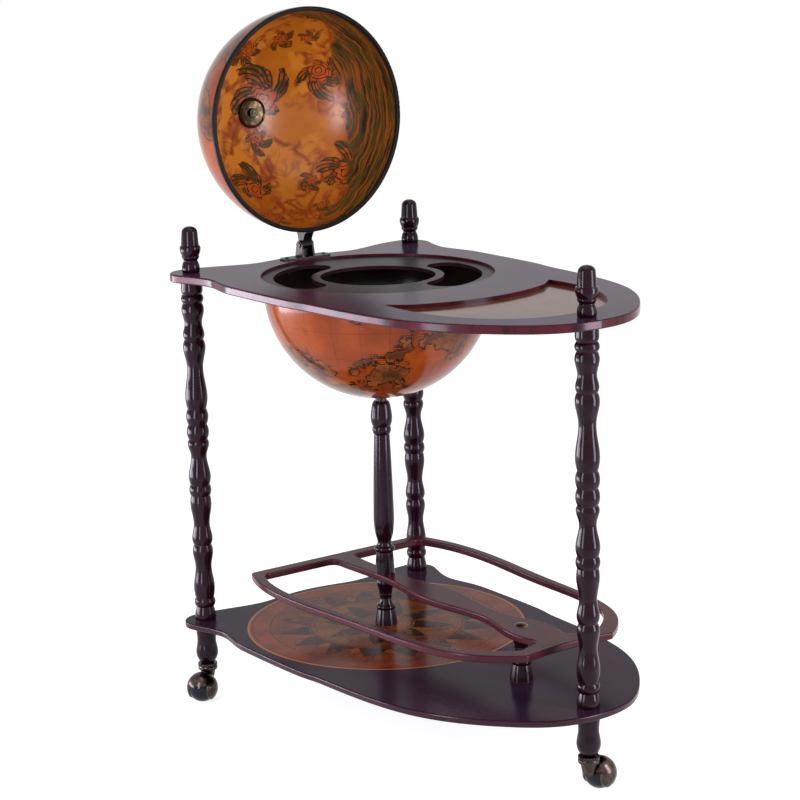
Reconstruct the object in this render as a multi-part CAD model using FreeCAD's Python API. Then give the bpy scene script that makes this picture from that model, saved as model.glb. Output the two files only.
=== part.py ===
import FreeCAD, Part
import math
import os

# Floor globe bar, in millimetres: a side table on three turned legs with a globe let into it.
# The upper half of the globe is a lid, shown open. The shelf below carries a bottle gallery.
# Origin on the floor under the middle of the opened bar, X from the hinge end to the end leg,
# Y across, Z up.

# Plan of the bar: side legs measured from the globe's axis, the end leg from the board's nose
GLOBE_X = -70.85
SIDE_LEG_BACK = 190.0
SIDE_LEG_OUT = 197.0
END_LEG_INSET = 28.4

# Heights above the floor
TABLE_TOP_Z = 648.0
GALLERY_TOP_Z = 199.0
SHELF_TOP_Z = 121.0
FOOT_BOTTOM_Z = 53.0

# Outline shared by table and shelf: an egg-shaped nose, ogee shoulders and round lugs behind
BOARD_NOSE = 487.0
BOARD_BOW_SETBACK = 57.0
BOARD_BOW_OUT = 117.0
BOARD_FLANK_SETBACK = 177.0
BOARD_FLANK_OUT = 190.0
BOARD_SIDE_AHEAD = 130.0
BOARD_SIDE_OUT = 213.0
SHOULDER_BACK = 45.0
SHOULDER_OUT = 221.0
WAIST_BACK = 120.0
WAIST_OUT = 210.0
LUG_R = 31.0
TABLE_BACK = 206.0
SHELF_BACK = 217.0
BACK_WAVE = 11.0
BACK_WAVE_OUT = 88.0
TABLE_THICK = 12.0
SHELF_THICK = 9.0
EDGE_EASE = 2.0

# Globe, its opening in the table and the bottle insert
GLOBE_R = 165.0
GLOBE_WALL = 4.0
BOWL_BAND = 4.0
REBATE_R = 168.0
LEDGE_R = 158.0
LEDGE_THICK = 3.0
INSERT_THICK = 5.0
BOTTLE_HOLE_R = 83.0
CRESCENT_INNER_R = 95.0
CRESCENT_OUTER_R = 150.0
CRESCENT_MID_DEG = 53.0
CRESCENT_HALF_DEG = 50.0
FLOOR_DISC_R = 83.0
FLOOR_DISC_THICK = 6.0

# Lid, its rim band and the furniture at its pole
LID_SEAT_GAP = 0.3
BAND_HEIGHT = 5.0
BAND_INNER_LAP = 2.0
BAND_OUTER_LAP = 0.5
BAND_ROUND = 1.8
CUP_R = 23.3
CUP_DEPTH = 5.0
CUP_SHEET = 1.5
KNOB_HEIGHT = 17.0
KNOB_BASE_R = 11.0
KNOB_BALL_R = 8.0
KNOB_STUD_R = 4.0
NUT_FLATS = 13.0
NUT_HEIGHT = 6.5

# Hinge behind the globe
HINGE_BACK = 186.5
HINGE_RISE = 19.5
HINGE_PIN_R = 3.0
PIN_HEAD_R = 4.6
PIN_HEAD_THICK = 1.6
KNUCKLE_R = 6.5
ARM_WIDTH = 16.0
ARM_SHEET = 2.5
ARM_PAD_LOW_DEG = 3.0
ARM_PAD_HIGH_DEG = 24.0
ARM_WEB_HIGH_DEG = 15.0
ARM_SCREW_DEG = 20.0
ARM_SCREW_OUT = 4.5
HEEL_THICK = 4.0
LID_STOP_GAP = 0.3
EAR_THICK = 3.0
EAR_GAP = 0.3
BRACKET_LENGTH = 86.0
BRACKET_WIDTH = 23.0
BRACKET_SHEET = 2.0
BRACKET_SCREW_OUT = 33.0
SCREW_R = 1.6
SCREW_HEAD_R = 3.4
SCREW_HEAD_H = 2.0
SCREW_GRIP = 3.4

# Tray in the table for the printed map panel
TRAY_INNER_R = 262.0
TRAY_INNER_HALF_DEG = 26.0
TRAY_HORN_AHEAD = 212.0
TRAY_HORN_OUT = 142.0
TRAY_NOSE_INSET = 59.0
TRAY_SHOULDER_SETBACK = 56.0
TRAY_SHOULDER_OUT = 109.0
TRAY_DEPTH = 5.5
MAP_THICK = 2.0
PANEL_GAP = 0.3

# Printed disc in the shelf
COMPASS_R = 206.0
COMPASS_THICK = 2.0

# Bottle gallery: a board with two compartments and a wavy middle bar
GALLERY_THICK = 10.0
GALLERY_BACK = 129.0
GALLERY_BACK_OUT = 152.0
GALLERY_HALF_WIDTH = 179.0
GALLERY_MID_OUT = 168.5
GALLERY_FLANK_OUT = 152.0
GALLERY_NOSE_GAP = 36.6
GALLERY_NOSE_OUT = 74.0
GALLERY_HOLLOW = 7.0
GALLERY_RAIL = 14.5
GALLERY_BACK_RAIL = 20.0
GALLERY_NOSE_RAIL = 23.0
BAR_NECK = 16.0
BAR_BELLY = 27.0
BAR_WAIST = 16.0
BAR_BOSS = 31.0
GALLERY_CORNER_R = 12.0
GALLERY_EASE = 2.0
END_SPINDLE_INSET = 104.0

# Turned wood: diameters that its crests, lips, grooves, waists and coves are turned to
CREST_D = 33.0
LIP_D = 31.5
SWELL_D = 30.5
NECK_D = 28.5
GROOVE_D = 27.5
DEEP_GROOVE_D = 25.7
WAIST_D = 24.5
NARROW_D = 23.0
THIN_D = 20.5
SLIM_D = 19.5
COVE_D = 17.5
FINIAL_HEIGHT = 67.0
FINIAL_COLLAR_D = 30.5
FINIAL_CAP_D = 23.2

# Studs, bolts and the collar under the globe
STUD_R = 4.0
STUD_GRIP = 28.0
BOLT_HEAD_R = 9.5
BOLT_HEAD_H = 3.5
COLLAR_R = 8.0
COLLAR_HEIGHT = 7.0
FIT_GAP = 0.05

# Ball casters
BALL_R = 21.5
HOOD_GAP = 0.6
HOOD_SHEET = 1.4
HOOD_EDGE_RISE = 9.0
HOOD_EAR_R = 17.0
CASTER_TRAIL = 24.0
CASTER_RING_R = 14.5
CASTER_RING_H = 6.5
CASTER_NECK_R = 8.0
CASTER_NECK_TOP_R = 12.5
CASTER_PLATE_H = 3.5
CASTER_SWIVEL_GAP = 0.4
PLATE_TEETH = 20
TOOTH_DEPTH = 1.2
STEM_R = 4.0
STEM_LENGTH = 27.0
AXLE_R = 2.5
HUB_FLAT = 1.5

END_LEG_AHEAD = BOARD_NOSE - END_LEG_INSET
TRAY_NOSE = BOARD_NOSE - TRAY_NOSE_INSET
TRAY_SHOULDER_AHEAD = TRAY_NOSE - TRAY_SHOULDER_SETBACK
GALLERY_NOSE = END_LEG_AHEAD - GALLERY_NOSE_GAP
END_SPINDLE_AHEAD = GALLERY_NOSE - END_SPINDLE_INSET
TABLE_UNDER_Z = TABLE_TOP_Z - TABLE_THICK
SHELF_UNDER_Z = SHELF_TOP_Z - SHELF_THICK
GALLERY_UNDER_Z = GALLERY_TOP_Z - GALLERY_THICK
INSERT_TOP_Z = TABLE_UNDER_Z + LEDGE_THICK + INSERT_THICK
BOWL_MID_Z = TABLE_UNDER_Z - BOWL_BAND
BOWL_BOTTOM_Z = BOWL_MID_Z - GLOBE_R
POST_TOP_Z = BOWL_BOTTOM_Z - COLLAR_HEIGHT
LID_RIM_Z = INSERT_TOP_Z + LID_SEAT_GAP
HINGE_Z = TABLE_TOP_Z + HINGE_RISE
LID_OPEN_DEG = 90.0

UP = FreeCAD.Vector(0, 0, 1)
ACROSS = FreeCAD.Vector(0, 1, 0)

# Legs by name: place in plan and the way its caster trails
LEGS = {
    "front": (GLOBE_X - SIDE_LEG_BACK, -SIDE_LEG_OUT, -54.0),
    "rear": (GLOBE_X - SIDE_LEG_BACK, SIDE_LEG_OUT, 126.0),
    "end": (GLOBE_X + END_LEG_AHEAD, 0.0, 102.0),
}


def at(ahead, out, z):
    """Point given by its distance ahead of the globe's axis, across and up."""
    return FreeCAD.Vector(GLOBE_X + ahead, out, z)


def line(start, end):
    return Part.LineSegment(start, end).toShape()


def arc(start, middle, end):
    return Part.Arc(start, middle, end).toShape()


def spline(points, start_way=None, end_way=None):
    curve = Part.BSplineCurve()
    if start_way is None:
        curve.interpolate(points)
    else:
        curve.interpolate(Points=points, InitialTangent=start_way, FinalTangent=end_way)
    return curve.toShape()


def rod(radius, base, height, way=UP):
    return Part.makeCylinder(radius, height, base, way)


def slab(edges, height):
    """Flat board from the edges of its lower face."""
    wire = Part.Wire(Part.__sortEdges__(edges))
    return Part.Face(wire).extrude(FreeCAD.Vector(0, 0, height))


def mirrored(edges):
    """The edges together with their mirror images across the bar's long axis."""
    flip = [edge.mirror(FreeCAD.Vector(0, 0, 0), ACROSS) for edge in edges]
    return edges + flip


def revolved(edges, x, y, z):
    """Solid of revolution about a vertical axis, from a closed profile in the XZ plane."""
    face = Part.Face(Part.Wire(edges))
    solid = face.revolve(FreeCAD.Vector(0, 0, 0), UP, 360)
    solid.translate(FreeCAD.Vector(x, y, z))
    return solid


def turned(stretches, x, y, z, height):
    """Turned wood. Each stretch is a row of (height, diameter) points between two grooves:
    two points are a cone, three an arc, more a flowing curve. The whole pattern is drawn out
    to the height of the piece."""
    stretch = height / stretches[-1][-1][0]
    edges = []
    for row in stretches:
        points = [FreeCAD.Vector(d / 2, 0, h * stretch) for h, d in row]
        if len(points) == 2:
            edges.append(line(*points))
        elif len(points) == 3:
            edges.append(arc(*points))
        else:
            edges.append(spline(points))
    low_h, low_d = stretches[0][0]
    top_h, top_d = stretches[-1][-1]
    first = FreeCAD.Vector(low_d / 2, 0, low_h * stretch)
    foot = FreeCAD.Vector(0, 0, low_h * stretch)
    head = FreeCAD.Vector(0, 0, top_h * stretch)
    if top_d > 0:
        edges.append(line(FreeCAD.Vector(top_d / 2, 0, top_h * stretch), head))
    edges.append(line(head, foot))
    edges.append(line(foot, first))
    return revolved(edges, x, y, z)


def save(name, shape):
    shape.exportStep("parts/" + name + ".step")


def grouped(shapes):
    return Part.makeCompound(shapes)


def edges_at_height(solid, z):
    """Edges that lie wholly at one height, as for easing a board's rim."""
    rims = []
    for edge in solid.Edges:
        if abs(edge.BoundBox.ZMin - z) < 0.01 and abs(edge.BoundBox.ZMax - z) < 0.01:
            rims.append(edge)
    return rims


def upright_edges(solid):
    return [e for e in solid.Edges if e.BoundBox.XLength < 0.01 and e.BoundBox.YLength < 0.01]


def board(back, under_z, thick):
    """Table or shelf blank: egg-shaped nose, ogee shoulder, lug about the leg and wavy back edge."""
    shoulder = at(-SHOULDER_BACK, SHOULDER_OUT, under_z)
    shoulder_way = FreeCAD.Vector(-1, 0, 0)
    front = spline([
        at(BOARD_NOSE, 0, under_z),
        at(BOARD_NOSE - BOARD_BOW_SETBACK, BOARD_BOW_OUT, under_z),
        at(BOARD_NOSE - BOARD_FLANK_SETBACK, BOARD_FLANK_OUT, under_z),
        at(BOARD_SIDE_AHEAD, BOARD_SIDE_OUT, under_z),
        shoulder,
    ], ACROSS, shoulder_way)
    lug = at(-SIDE_LEG_BACK, SIDE_LEG_OUT, under_z)

    def around(degrees, radius):
        turn = math.radians(degrees)
        return FreeCAD.Vector(math.cos(turn) * radius, math.sin(turn) * radius, 0)

    start_deg = 70.0
    end_deg = 182.0
    lug_start = lug + around(start_deg, LUG_R)
    lug_end = lug + around(end_deg, LUG_R)
    lug_round = arc(lug_start, lug + around((start_deg + end_deg) / 2, LUG_R), lug_end)
    waist = at(-WAIST_BACK, WAIST_OUT, under_z)
    side = spline([shoulder, waist, lug_start], shoulder_way, around(start_deg + 90, 1))
    wave = at(-(back - BACK_WAVE), BACK_WAVE_OUT, under_z)
    rear = spline([lug_end, wave, at(-back, 0, under_z)], around(end_deg + 90, 1), ACROSS * -1)
    blank = slab(mirrored([front, side, lug_round, rear]), thick)
    rims = edges_at_height(blank, under_z) + edges_at_height(blank, under_z + thick)
    return blank.makeFillet(EDGE_EASE, rims)


def stud_holes(base_z, height):
    """Clearance holes for the studs of all three legs."""
    return [rod(STUD_R + FIT_GAP, FreeCAD.Vector(x, y, base_z), height) for x, y, _ in LEGS.values()]


def tray_blank(gap, base_z, height):
    """Crescent tray ahead of the globe, drawn in by a gap for the panel that lies in it."""
    inner_r = TRAY_INNER_R + gap
    half = math.radians(TRAY_INNER_HALF_DEG)
    arc_end = at(inner_r * math.cos(half), inner_r * math.sin(half), base_z)
    horn = at(TRAY_HORN_AHEAD + gap, TRAY_HORN_OUT - gap, base_z)
    shoulder = at(TRAY_SHOULDER_AHEAD - gap, TRAY_SHOULDER_OUT - gap, base_z)
    tip = at(TRAY_NOSE - gap, 0, base_z)
    arc_twin = at(inner_r * math.cos(half), -inner_r * math.sin(half), base_z)
    inner = arc(arc_end, at(inner_r, 0, base_z), arc_twin)
    flank = spline([horn, shoulder, tip], FreeCAD.Vector(1, 0.1, 0), ACROSS * -1)
    return slab([inner] + mirrored([line(arc_end, horn), flank]), height)


def table_top():
    blank = board(TABLE_BACK, TABLE_UNDER_Z, TABLE_THICK)
    ledge_z = TABLE_UNDER_Z + LEDGE_THICK
    cuts = [rod(LEDGE_R, at(0, 0, TABLE_UNDER_Z - 1), TABLE_THICK + 2)]
    cuts.append(rod(REBATE_R, at(0, 0, ledge_z), TABLE_THICK))
    cuts.append(tray_blank(0, TABLE_TOP_Z - TRAY_DEPTH - MAP_THICK, TABLE_THICK))
    cuts += stud_holes(TABLE_UNDER_Z - 1, TABLE_THICK + 2)
    screw_tips = bracket_screw_places(TABLE_TOP_Z - SCREW_GRIP - FIT_GAP)
    cuts += [rod(SCREW_R + FIT_GAP, tip, TABLE_THICK) for tip in screw_tips]
    return blank.cut(cuts)


def bottle_insert():
    """Round plate resting on the ledge, with one bottle hole and two crescents for glasses."""
    base_z = TABLE_UNDER_Z + LEDGE_THICK
    plate = rod(REBATE_R - PANEL_GAP, at(0, 0, base_z), INSERT_THICK)
    cuts = [rod(BOTTLE_HOLE_R, at(0, 0, base_z - 1), INSERT_THICK + 2)]
    end_r = (CRESCENT_OUTER_R - CRESCENT_INNER_R) / 2
    mid_r = (CRESCENT_OUTER_R + CRESCENT_INNER_R) / 2
    end_deg = CRESCENT_HALF_DEG - math.degrees(end_r / mid_r)
    for turn in (CRESCENT_MID_DEG, CRESCENT_MID_DEG + 180):
        def polar(radius, degrees):
            angle = math.radians(turn + degrees)
            return at(radius * math.cos(angle), radius * math.sin(angle), base_z - 1)

        rim = []
        for radius in (CRESCENT_INNER_R, CRESCENT_OUTER_R):
            rim.append(arc(polar(radius, -end_deg), polar(radius, 0), polar(radius, end_deg)))
        for end in (-end_deg, end_deg):
            cap = polar(mid_r, math.copysign(CRESCENT_HALF_DEG, end))
            rim.append(arc(polar(CRESCENT_INNER_R, end), cap, polar(CRESCENT_OUTER_R, end)))
        cuts.append(slab(rim, INSERT_THICK + 2))
    return plate.cut(cuts)


def globe_bowl():
    """Lower half of the globe: a thin shell with a short straight band up to the table."""
    inner = GLOBE_R - GLOBE_WALL
    hole = STUD_R + FIT_GAP
    outer_hole_z = -math.sqrt(GLOBE_R ** 2 - hole ** 2)
    inner_hole_z = -math.sqrt(inner ** 2 - hole ** 2)
    half = math.sqrt(0.5)

    def p(radius, z):
        return FreeCAD.Vector(radius, 0, z)

    edges = [
        arc(p(hole, outer_hole_z), p(GLOBE_R * half, -GLOBE_R * half), p(GLOBE_R, 0)),
        line(p(GLOBE_R, 0), p(GLOBE_R, BOWL_BAND)),
        line(p(GLOBE_R, BOWL_BAND), p(inner, BOWL_BAND)),
        line(p(inner, BOWL_BAND), p(inner, 0)),
        arc(p(inner, 0), p(inner * half, -inner * half), p(hole, inner_hole_z)),
        line(p(hole, inner_hole_z), p(hole, outer_hole_z)),
    ]
    return revolved(edges, GLOBE_X, 0, BOWL_MID_Z)


def bowl_floor():
    """Flat disc wedged in the bowl, on which bottles stand."""
    inner = GLOBE_R - GLOBE_WALL - FIT_GAP
    seat_z = BOWL_MID_Z - math.sqrt(inner ** 2 - FLOOR_DISC_R ** 2)
    return rod(FLOOR_DISC_R, at(0, 0, seat_z), FLOOR_DISC_THICK)


def bowl_bolt():
    """Bolt from inside the bowl, through the collar, down into the post."""
    inner = GLOBE_R - GLOBE_WALL
    head_z = BOWL_MID_Z - math.sqrt(inner ** 2 - BOLT_HEAD_R ** 2) + FIT_GAP
    grip = head_z - POST_TOP_Z + STUD_GRIP
    shank = rod(STUD_R, at(0, 0, head_z - grip), grip)
    return shank.fuse(rod(BOLT_HEAD_R, at(0, 0, head_z), BOLT_HEAD_H)).removeSplitter()


def post_collar():
    """Short dark neck between post and bowl, hollowed on top to the globe's curve."""
    neck = rod(COLLAR_R, at(0, 0, POST_TOP_Z), COLLAR_HEIGHT + 2)
    globe = Part.makeSphere(GLOBE_R + FIT_GAP, at(0, 0, BOWL_MID_Z))
    bore = rod(STUD_R + FIT_GAP, at(0, 0, POST_TOP_Z - 1), COLLAR_HEIGHT + 4)
    return neck.cut([globe, bore])


def lid_place(shape):
    """Swing a lid piece from its closed place to the open rest pose."""
    shape.rotate(at(-HINGE_BACK, 0, HINGE_Z), ACROSS, -LID_OPEN_DEG)
    return shape


def arm_screw_ways():
    """Seat points and inward directions of the screws that hold the hinge arm to the lid."""
    turn = math.radians(ARM_SCREW_DEG)
    inward = FreeCAD.Vector(math.cos(turn), 0, -math.sin(turn))
    seat = at(0, 0, LID_RIM_Z) - inward * (GLOBE_R + ARM_SHEET)
    return [(seat + ACROSS * out, inward) for out in (-ARM_SCREW_OUT, ARM_SCREW_OUT)]


def globe_lid():
    """Upper half of the globe: a thin shell from the rim band to the pole."""
    inner = GLOBE_R - GLOBE_WALL
    hole = KNOB_STUD_R + FIT_GAP
    rim_outer = math.sqrt(GLOBE_R ** 2 - BAND_HEIGHT ** 2)
    rim_inner = math.sqrt(inner ** 2 - BAND_HEIGHT ** 2)
    hole_outer = math.sqrt(GLOBE_R ** 2 - hole ** 2)
    hole_inner = math.sqrt(inner ** 2 - hole ** 2)
    half = math.sqrt(0.5)

    def p(radius, z):
        return FreeCAD.Vector(radius, 0, z)

    edges = [
        arc(p(rim_outer, BAND_HEIGHT), p(GLOBE_R * half, GLOBE_R * half), p(hole, hole_outer)),
        line(p(hole, hole_outer), p(hole, hole_inner)),
        arc(p(hole, hole_inner), p(inner * half, inner * half), p(rim_inner, BAND_HEIGHT)),
        line(p(rim_inner, BAND_HEIGHT), p(rim_outer, BAND_HEIGHT)),
    ]
    shell = revolved(edges, GLOBE_X, 0, LID_RIM_Z)
    drill = SCREW_GRIP + ARM_SHEET + FIT_GAP
    holes = [rod(SCREW_R + FIT_GAP, seat, drill, way) for seat, way in arm_screw_ways()]
    return lid_place(shell.cut(holes))


def lid_rim_band():
    """Dark rounded band that closes the lid's rim."""
    inner = GLOBE_R - GLOBE_WALL - BAND_INNER_LAP
    outer = GLOBE_R + BAND_OUTER_LAP
    ring = rod(outer, at(0, 0, LID_RIM_Z), BAND_HEIGHT)
    ring = ring.cut(rod(inner, at(0, 0, LID_RIM_Z - 1), BAND_HEIGHT + 2))
    return lid_place(ring.makeFillet(BAND_ROUND, edges_at_height(ring, LID_RIM_Z)))


def lid_pole_cup():
    """Dished metal cup under the pole, inside the lid."""
    inner = GLOBE_R - GLOBE_WALL - FIT_GAP
    seat = math.sqrt(inner ** 2 - CUP_R ** 2)
    bore = KNOB_STUD_R + FIT_GAP
    flat = NUT_FLATS * 0.75
    lip = CUP_R - CUP_SHEET
    slope = CUP_R - 3 * CUP_SHEET

    def p(radius, drop):
        return FreeCAD.Vector(radius, 0, seat - drop)

    edges = [
        line(p(bore, 0), p(lip, 0)),
        arc(p(lip, 0), p(CUP_R, CUP_DEPTH / 2), p(lip, CUP_DEPTH)),
        arc(p(lip, CUP_DEPTH), p(lip - CUP_SHEET, CUP_DEPTH * 0.85), p(slope, CUP_DEPTH * 0.6)),
        line(p(slope, CUP_DEPTH * 0.6), p(flat, CUP_SHEET)),
        line(p(flat, CUP_SHEET), p(bore, CUP_SHEET)),
        line(p(bore, CUP_SHEET), p(bore, 0)),
    ]
    return lid_place(revolved(edges, GLOBE_X, 0, LID_RIM_Z))


def cup_floor_z():
    inner = GLOBE_R - GLOBE_WALL - FIT_GAP
    return LID_RIM_Z + math.sqrt(inner ** 2 - CUP_R ** 2) - CUP_SHEET


def lid_knob():
    """Turned knob on the pole outside, with the stud that passes through the shell."""
    seat = math.sqrt((GLOBE_R + FIT_GAP) ** 2 - KNOB_BASE_R ** 2)
    top = GLOBE_R + KNOB_HEIGHT
    ball_z = top - KNOB_BALL_R
    neck_r = KNOB_BALL_R * 0.6
    neck_z = ball_z - math.sqrt(KNOB_BALL_R ** 2 - neck_r ** 2)
    stud_end = cup_floor_z() - LID_RIM_Z - NUT_HEIGHT - 1.5

    def p(radius, z):
        return FreeCAD.Vector(radius, 0, z)

    edges = [
        line(p(0, stud_end), p(KNOB_STUD_R, stud_end)),
        line(p(KNOB_STUD_R, stud_end), p(KNOB_STUD_R, GLOBE_R + FIT_GAP)),
        line(p(KNOB_STUD_R, GLOBE_R + FIT_GAP), p(KNOB_BASE_R, GLOBE_R + FIT_GAP)),
        line(p(KNOB_BASE_R, GLOBE_R + FIT_GAP), p(KNOB_BASE_R, seat + 2.5)),
        arc(p(KNOB_BASE_R, seat + 2.5), p(neck_r + 1.2, (seat + 2.5 + neck_z) / 2), p(neck_r, neck_z)),
        arc(p(neck_r, neck_z), p(KNOB_BALL_R, ball_z), p(0, top)),
        line(p(0, top), p(0, stud_end)),
    ]
    return lid_place(revolved(edges, GLOBE_X, 0, LID_RIM_Z))


def lid_knob_nut():
    corner_r = NUT_FLATS / 2 / math.cos(math.pi / 6)
    base_z = cup_floor_z() - NUT_HEIGHT
    corners = []
    for step in range(7):
        angle = math.radians(60 * step)
        corners.append(at(corner_r * math.cos(angle), corner_r * math.sin(angle), base_z))
    hexagon = Part.Face(Part.makePolygon(corners)).extrude(UP * NUT_HEIGHT)
    return lid_place(hexagon.cut(rod(KNOB_STUD_R + FIT_GAP, at(0, 0, base_z - 1), NUT_HEIGHT + 2)))


def hinge_arm():
    """Curved arm: a pad screwed to the globe, a web drawn in to a knuckle on the pin, and a heel
    that meets the bracket's plate and stops the open lid."""
    side_y = -ARM_WIDTH / 2
    pivot = at(-HINGE_BACK, side_y, HINGE_Z)

    def shell(radius, degrees):
        angle = math.radians(degrees)
        return at(-radius * math.cos(angle), side_y, LID_RIM_Z + radius * math.sin(angle))

    def extruded(edges):
        return Part.Face(Part.Wire(Part.__sortEdges__(edges))).extrude(ACROSS * ARM_WIDTH)

    near = GLOBE_R + FIT_GAP
    far = GLOBE_R + ARM_SHEET
    mid_deg = (ARM_PAD_LOW_DEG + ARM_PAD_HIGH_DEG) / 2
    pad = extruded([
        arc(shell(near, ARM_PAD_LOW_DEG), shell(near, mid_deg), shell(near, ARM_PAD_HIGH_DEG)),
        line(shell(near, ARM_PAD_HIGH_DEG), shell(far, ARM_PAD_HIGH_DEG)),
        arc(shell(far, ARM_PAD_HIGH_DEG), shell(far, mid_deg), shell(far, ARM_PAD_LOW_DEG)),
        line(shell(far, ARM_PAD_LOW_DEG), shell(near, ARM_PAD_LOW_DEG)),
    ])
    knuckle_top = pivot + FreeCAD.Vector(0, 0, KNUCKLE_R)
    knuckle_low = pivot - FreeCAD.Vector(0, 0, KNUCKLE_R)
    mid_sheet = GLOBE_R + ARM_SHEET / 2
    web_top = shell(mid_sheet, ARM_WEB_HIGH_DEG)
    web_low = shell(mid_sheet, ARM_PAD_LOW_DEG)
    top_sag = (knuckle_top + web_top) * 0.5 + FreeCAD.Vector(3, 0, -5)
    low_sag = (knuckle_low + web_low) * 0.5 + FreeCAD.Vector(1, 0, 2)
    web = extruded([
        arc(knuckle_top, top_sag, web_top),
        line(web_top, web_low),
        arc(web_low, low_sag, knuckle_low),
        line(knuckle_low, knuckle_top),
    ])
    knuckle = rod(KNUCKLE_R, pivot, ARM_WIDTH, ACROSS)
    heel_reach = HINGE_RISE - BRACKET_SHEET - LID_STOP_GAP
    heel = Part.makeBox(heel_reach, ARM_WIDTH, HEEL_THICK)
    heel.translate(pivot + FreeCAD.Vector(-heel_reach, 0, KNUCKLE_R - HEEL_THICK))
    arm = pad.fuse([web, knuckle, heel]).removeSplitter()
    globe = Part.makeSphere(GLOBE_R + FIT_GAP, at(0, 0, LID_RIM_Z))
    cuts = [globe, rod(HINGE_PIN_R + FIT_GAP, pivot - ACROSS, ARM_WIDTH + 2, ACROSS)]
    for seat, way in arm_screw_ways():
        cuts.append(rod(SCREW_R + FIT_GAP, seat - way, ARM_SHEET + 3, way))
    return lid_place(arm.cut(cuts))


def pan_head_screw(seat, way, grip):
    """Screw with a domed head; the seat is under its head, the way points into the wood."""
    shank = rod(SCREW_R, seat, grip, way)
    dome_r = (SCREW_HEAD_R ** 2 + SCREW_HEAD_H ** 2) / (2 * SCREW_HEAD_H)
    dome = Part.makeSphere(dome_r, seat + way * (dome_r - SCREW_HEAD_H))
    head = dome.common(rod(SCREW_HEAD_R, seat - way * (SCREW_HEAD_H + 1), SCREW_HEAD_H + 1, way))
    return shank.fuse(head).removeSplitter()


def arm_screws():
    screws = [pan_head_screw(seat, way, SCREW_GRIP + ARM_SHEET) for seat, way in arm_screw_ways()]
    return lid_place(grouped(screws))


def bracket_screw_places(z):
    return [at(-HINGE_BACK, out, z) for out in (-BRACKET_SCREW_OUT, BRACKET_SCREW_OUT)]


def bracket_screws():
    down = UP * -1
    seats = bracket_screw_places(TABLE_TOP_Z + BRACKET_SHEET)
    return grouped([pan_head_screw(seat, down, BRACKET_SHEET + SCREW_GRIP) for seat in seats])


def hinge_bracket():
    """Round-ended foot plate on the table with two ears that hold the pin."""
    z = TABLE_TOP_Z
    half = BRACKET_WIDTH / 2
    straight = BRACKET_LENGTH / 2 - half
    mid = -HINGE_BACK
    plate = slab([
        line(at(mid - half, -straight, z), at(mid - half, straight, z)),
        arc(at(mid - half, straight, z), at(mid, straight + half, z), at(mid + half, straight, z)),
        line(at(mid + half, straight, z), at(mid + half, -straight, z)),
        arc(at(mid + half, -straight, z), at(mid, -straight - half, z), at(mid - half, -straight, z)),
    ], BRACKET_SHEET)
    ears = []
    for side in (-1, 1):
        face_y = side * (ARM_WIDTH / 2 + EAR_GAP)
        back_foot = at(mid - half + 1, face_y, z)
        front_foot = at(mid + half - 1, face_y, z)
        back_eye = at(mid - KNUCKLE_R, face_y, HINGE_Z)
        front_eye = at(mid + KNUCKLE_R, face_y, HINGE_Z)
        ear = Part.Face(Part.Wire([
            line(back_foot, front_foot),
            line(front_foot, front_eye),
            arc(front_eye, at(mid, face_y, HINGE_Z + KNUCKLE_R), back_eye),
            line(back_eye, back_foot),
        ]))
        ears.append(ear.extrude(ACROSS * side * EAR_THICK))
    bracket = plate.fuse(ears).removeSplitter()
    span = ARM_WIDTH + 2 * (EAR_GAP + EAR_THICK) + 2
    cuts = [rod(HINGE_PIN_R + FIT_GAP, at(mid, -span / 2, HINGE_Z), span, ACROSS)]
    cuts += [rod(SCREW_R + FIT_GAP, place, BRACKET_SHEET + 2) for place in bracket_screw_places(z - 1)]
    return bracket.cut(cuts)


def hinge_pin():
    """Pin through both ears, its ends spread into flat heads."""
    half = ARM_WIDTH / 2 + EAR_GAP + EAR_THICK
    pin = rod(HINGE_PIN_R, at(-HINGE_BACK, -half, HINGE_Z), 2 * half, ACROSS)
    heads = [rod(PIN_HEAD_R, at(-HINGE_BACK, -half - PIN_HEAD_THICK, HINGE_Z), PIN_HEAD_THICK, ACROSS)]
    heads.append(rod(PIN_HEAD_R, at(-HINGE_BACK, half, HINGE_Z), PIN_HEAD_THICK, ACROSS))
    return pin.fuse(heads).removeSplitter()


def lower_shelf():
    blank = board(SHELF_BACK, SHELF_UNDER_Z, SHELF_THICK)
    cuts = [rod(COMPASS_R + PANEL_GAP, at(0, 0, SHELF_TOP_Z - COMPASS_THICK), SHELF_THICK)]
    cuts += stud_holes(SHELF_UNDER_Z - 1, SHELF_THICK + 2)
    cuts.append(rod(STUD_R + FIT_GAP, at(0, 0, SHELF_UNDER_Z - 1), SHELF_THICK + 2))
    cuts.append(rod(STUD_R + FIT_GAP, at(END_SPINDLE_AHEAD, 0, SHELF_UNDER_Z - 1), SHELF_THICK + 2))
    return blank.cut(cuts)


def compass_disc():
    disc = rod(COMPASS_R, at(0, 0, SHELF_TOP_Z - COMPASS_THICK), COMPASS_THICK)
    return disc.cut(rod(STUD_R + FIT_GAP, at(0, 0, SHELF_UNDER_Z), SHELF_THICK * 2))


def gallery_side(back_corner, inset, nose_corner):
    """Long edge of the gallery, or of a compartment when drawn in by the rail's width."""
    z = back_corner.z
    return spline([
        back_corner,
        at(0, GALLERY_HALF_WIDTH - inset, z),
        at(END_SPINDLE_AHEAD / 2, GALLERY_MID_OUT - inset, z),
        at(END_SPINDLE_AHEAD, GALLERY_FLANK_OUT - inset, z),
        nose_corner,
    ], FreeCAD.Vector(1, 0.5, 0), FreeCAD.Vector(1, -1.6, 0))


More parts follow.
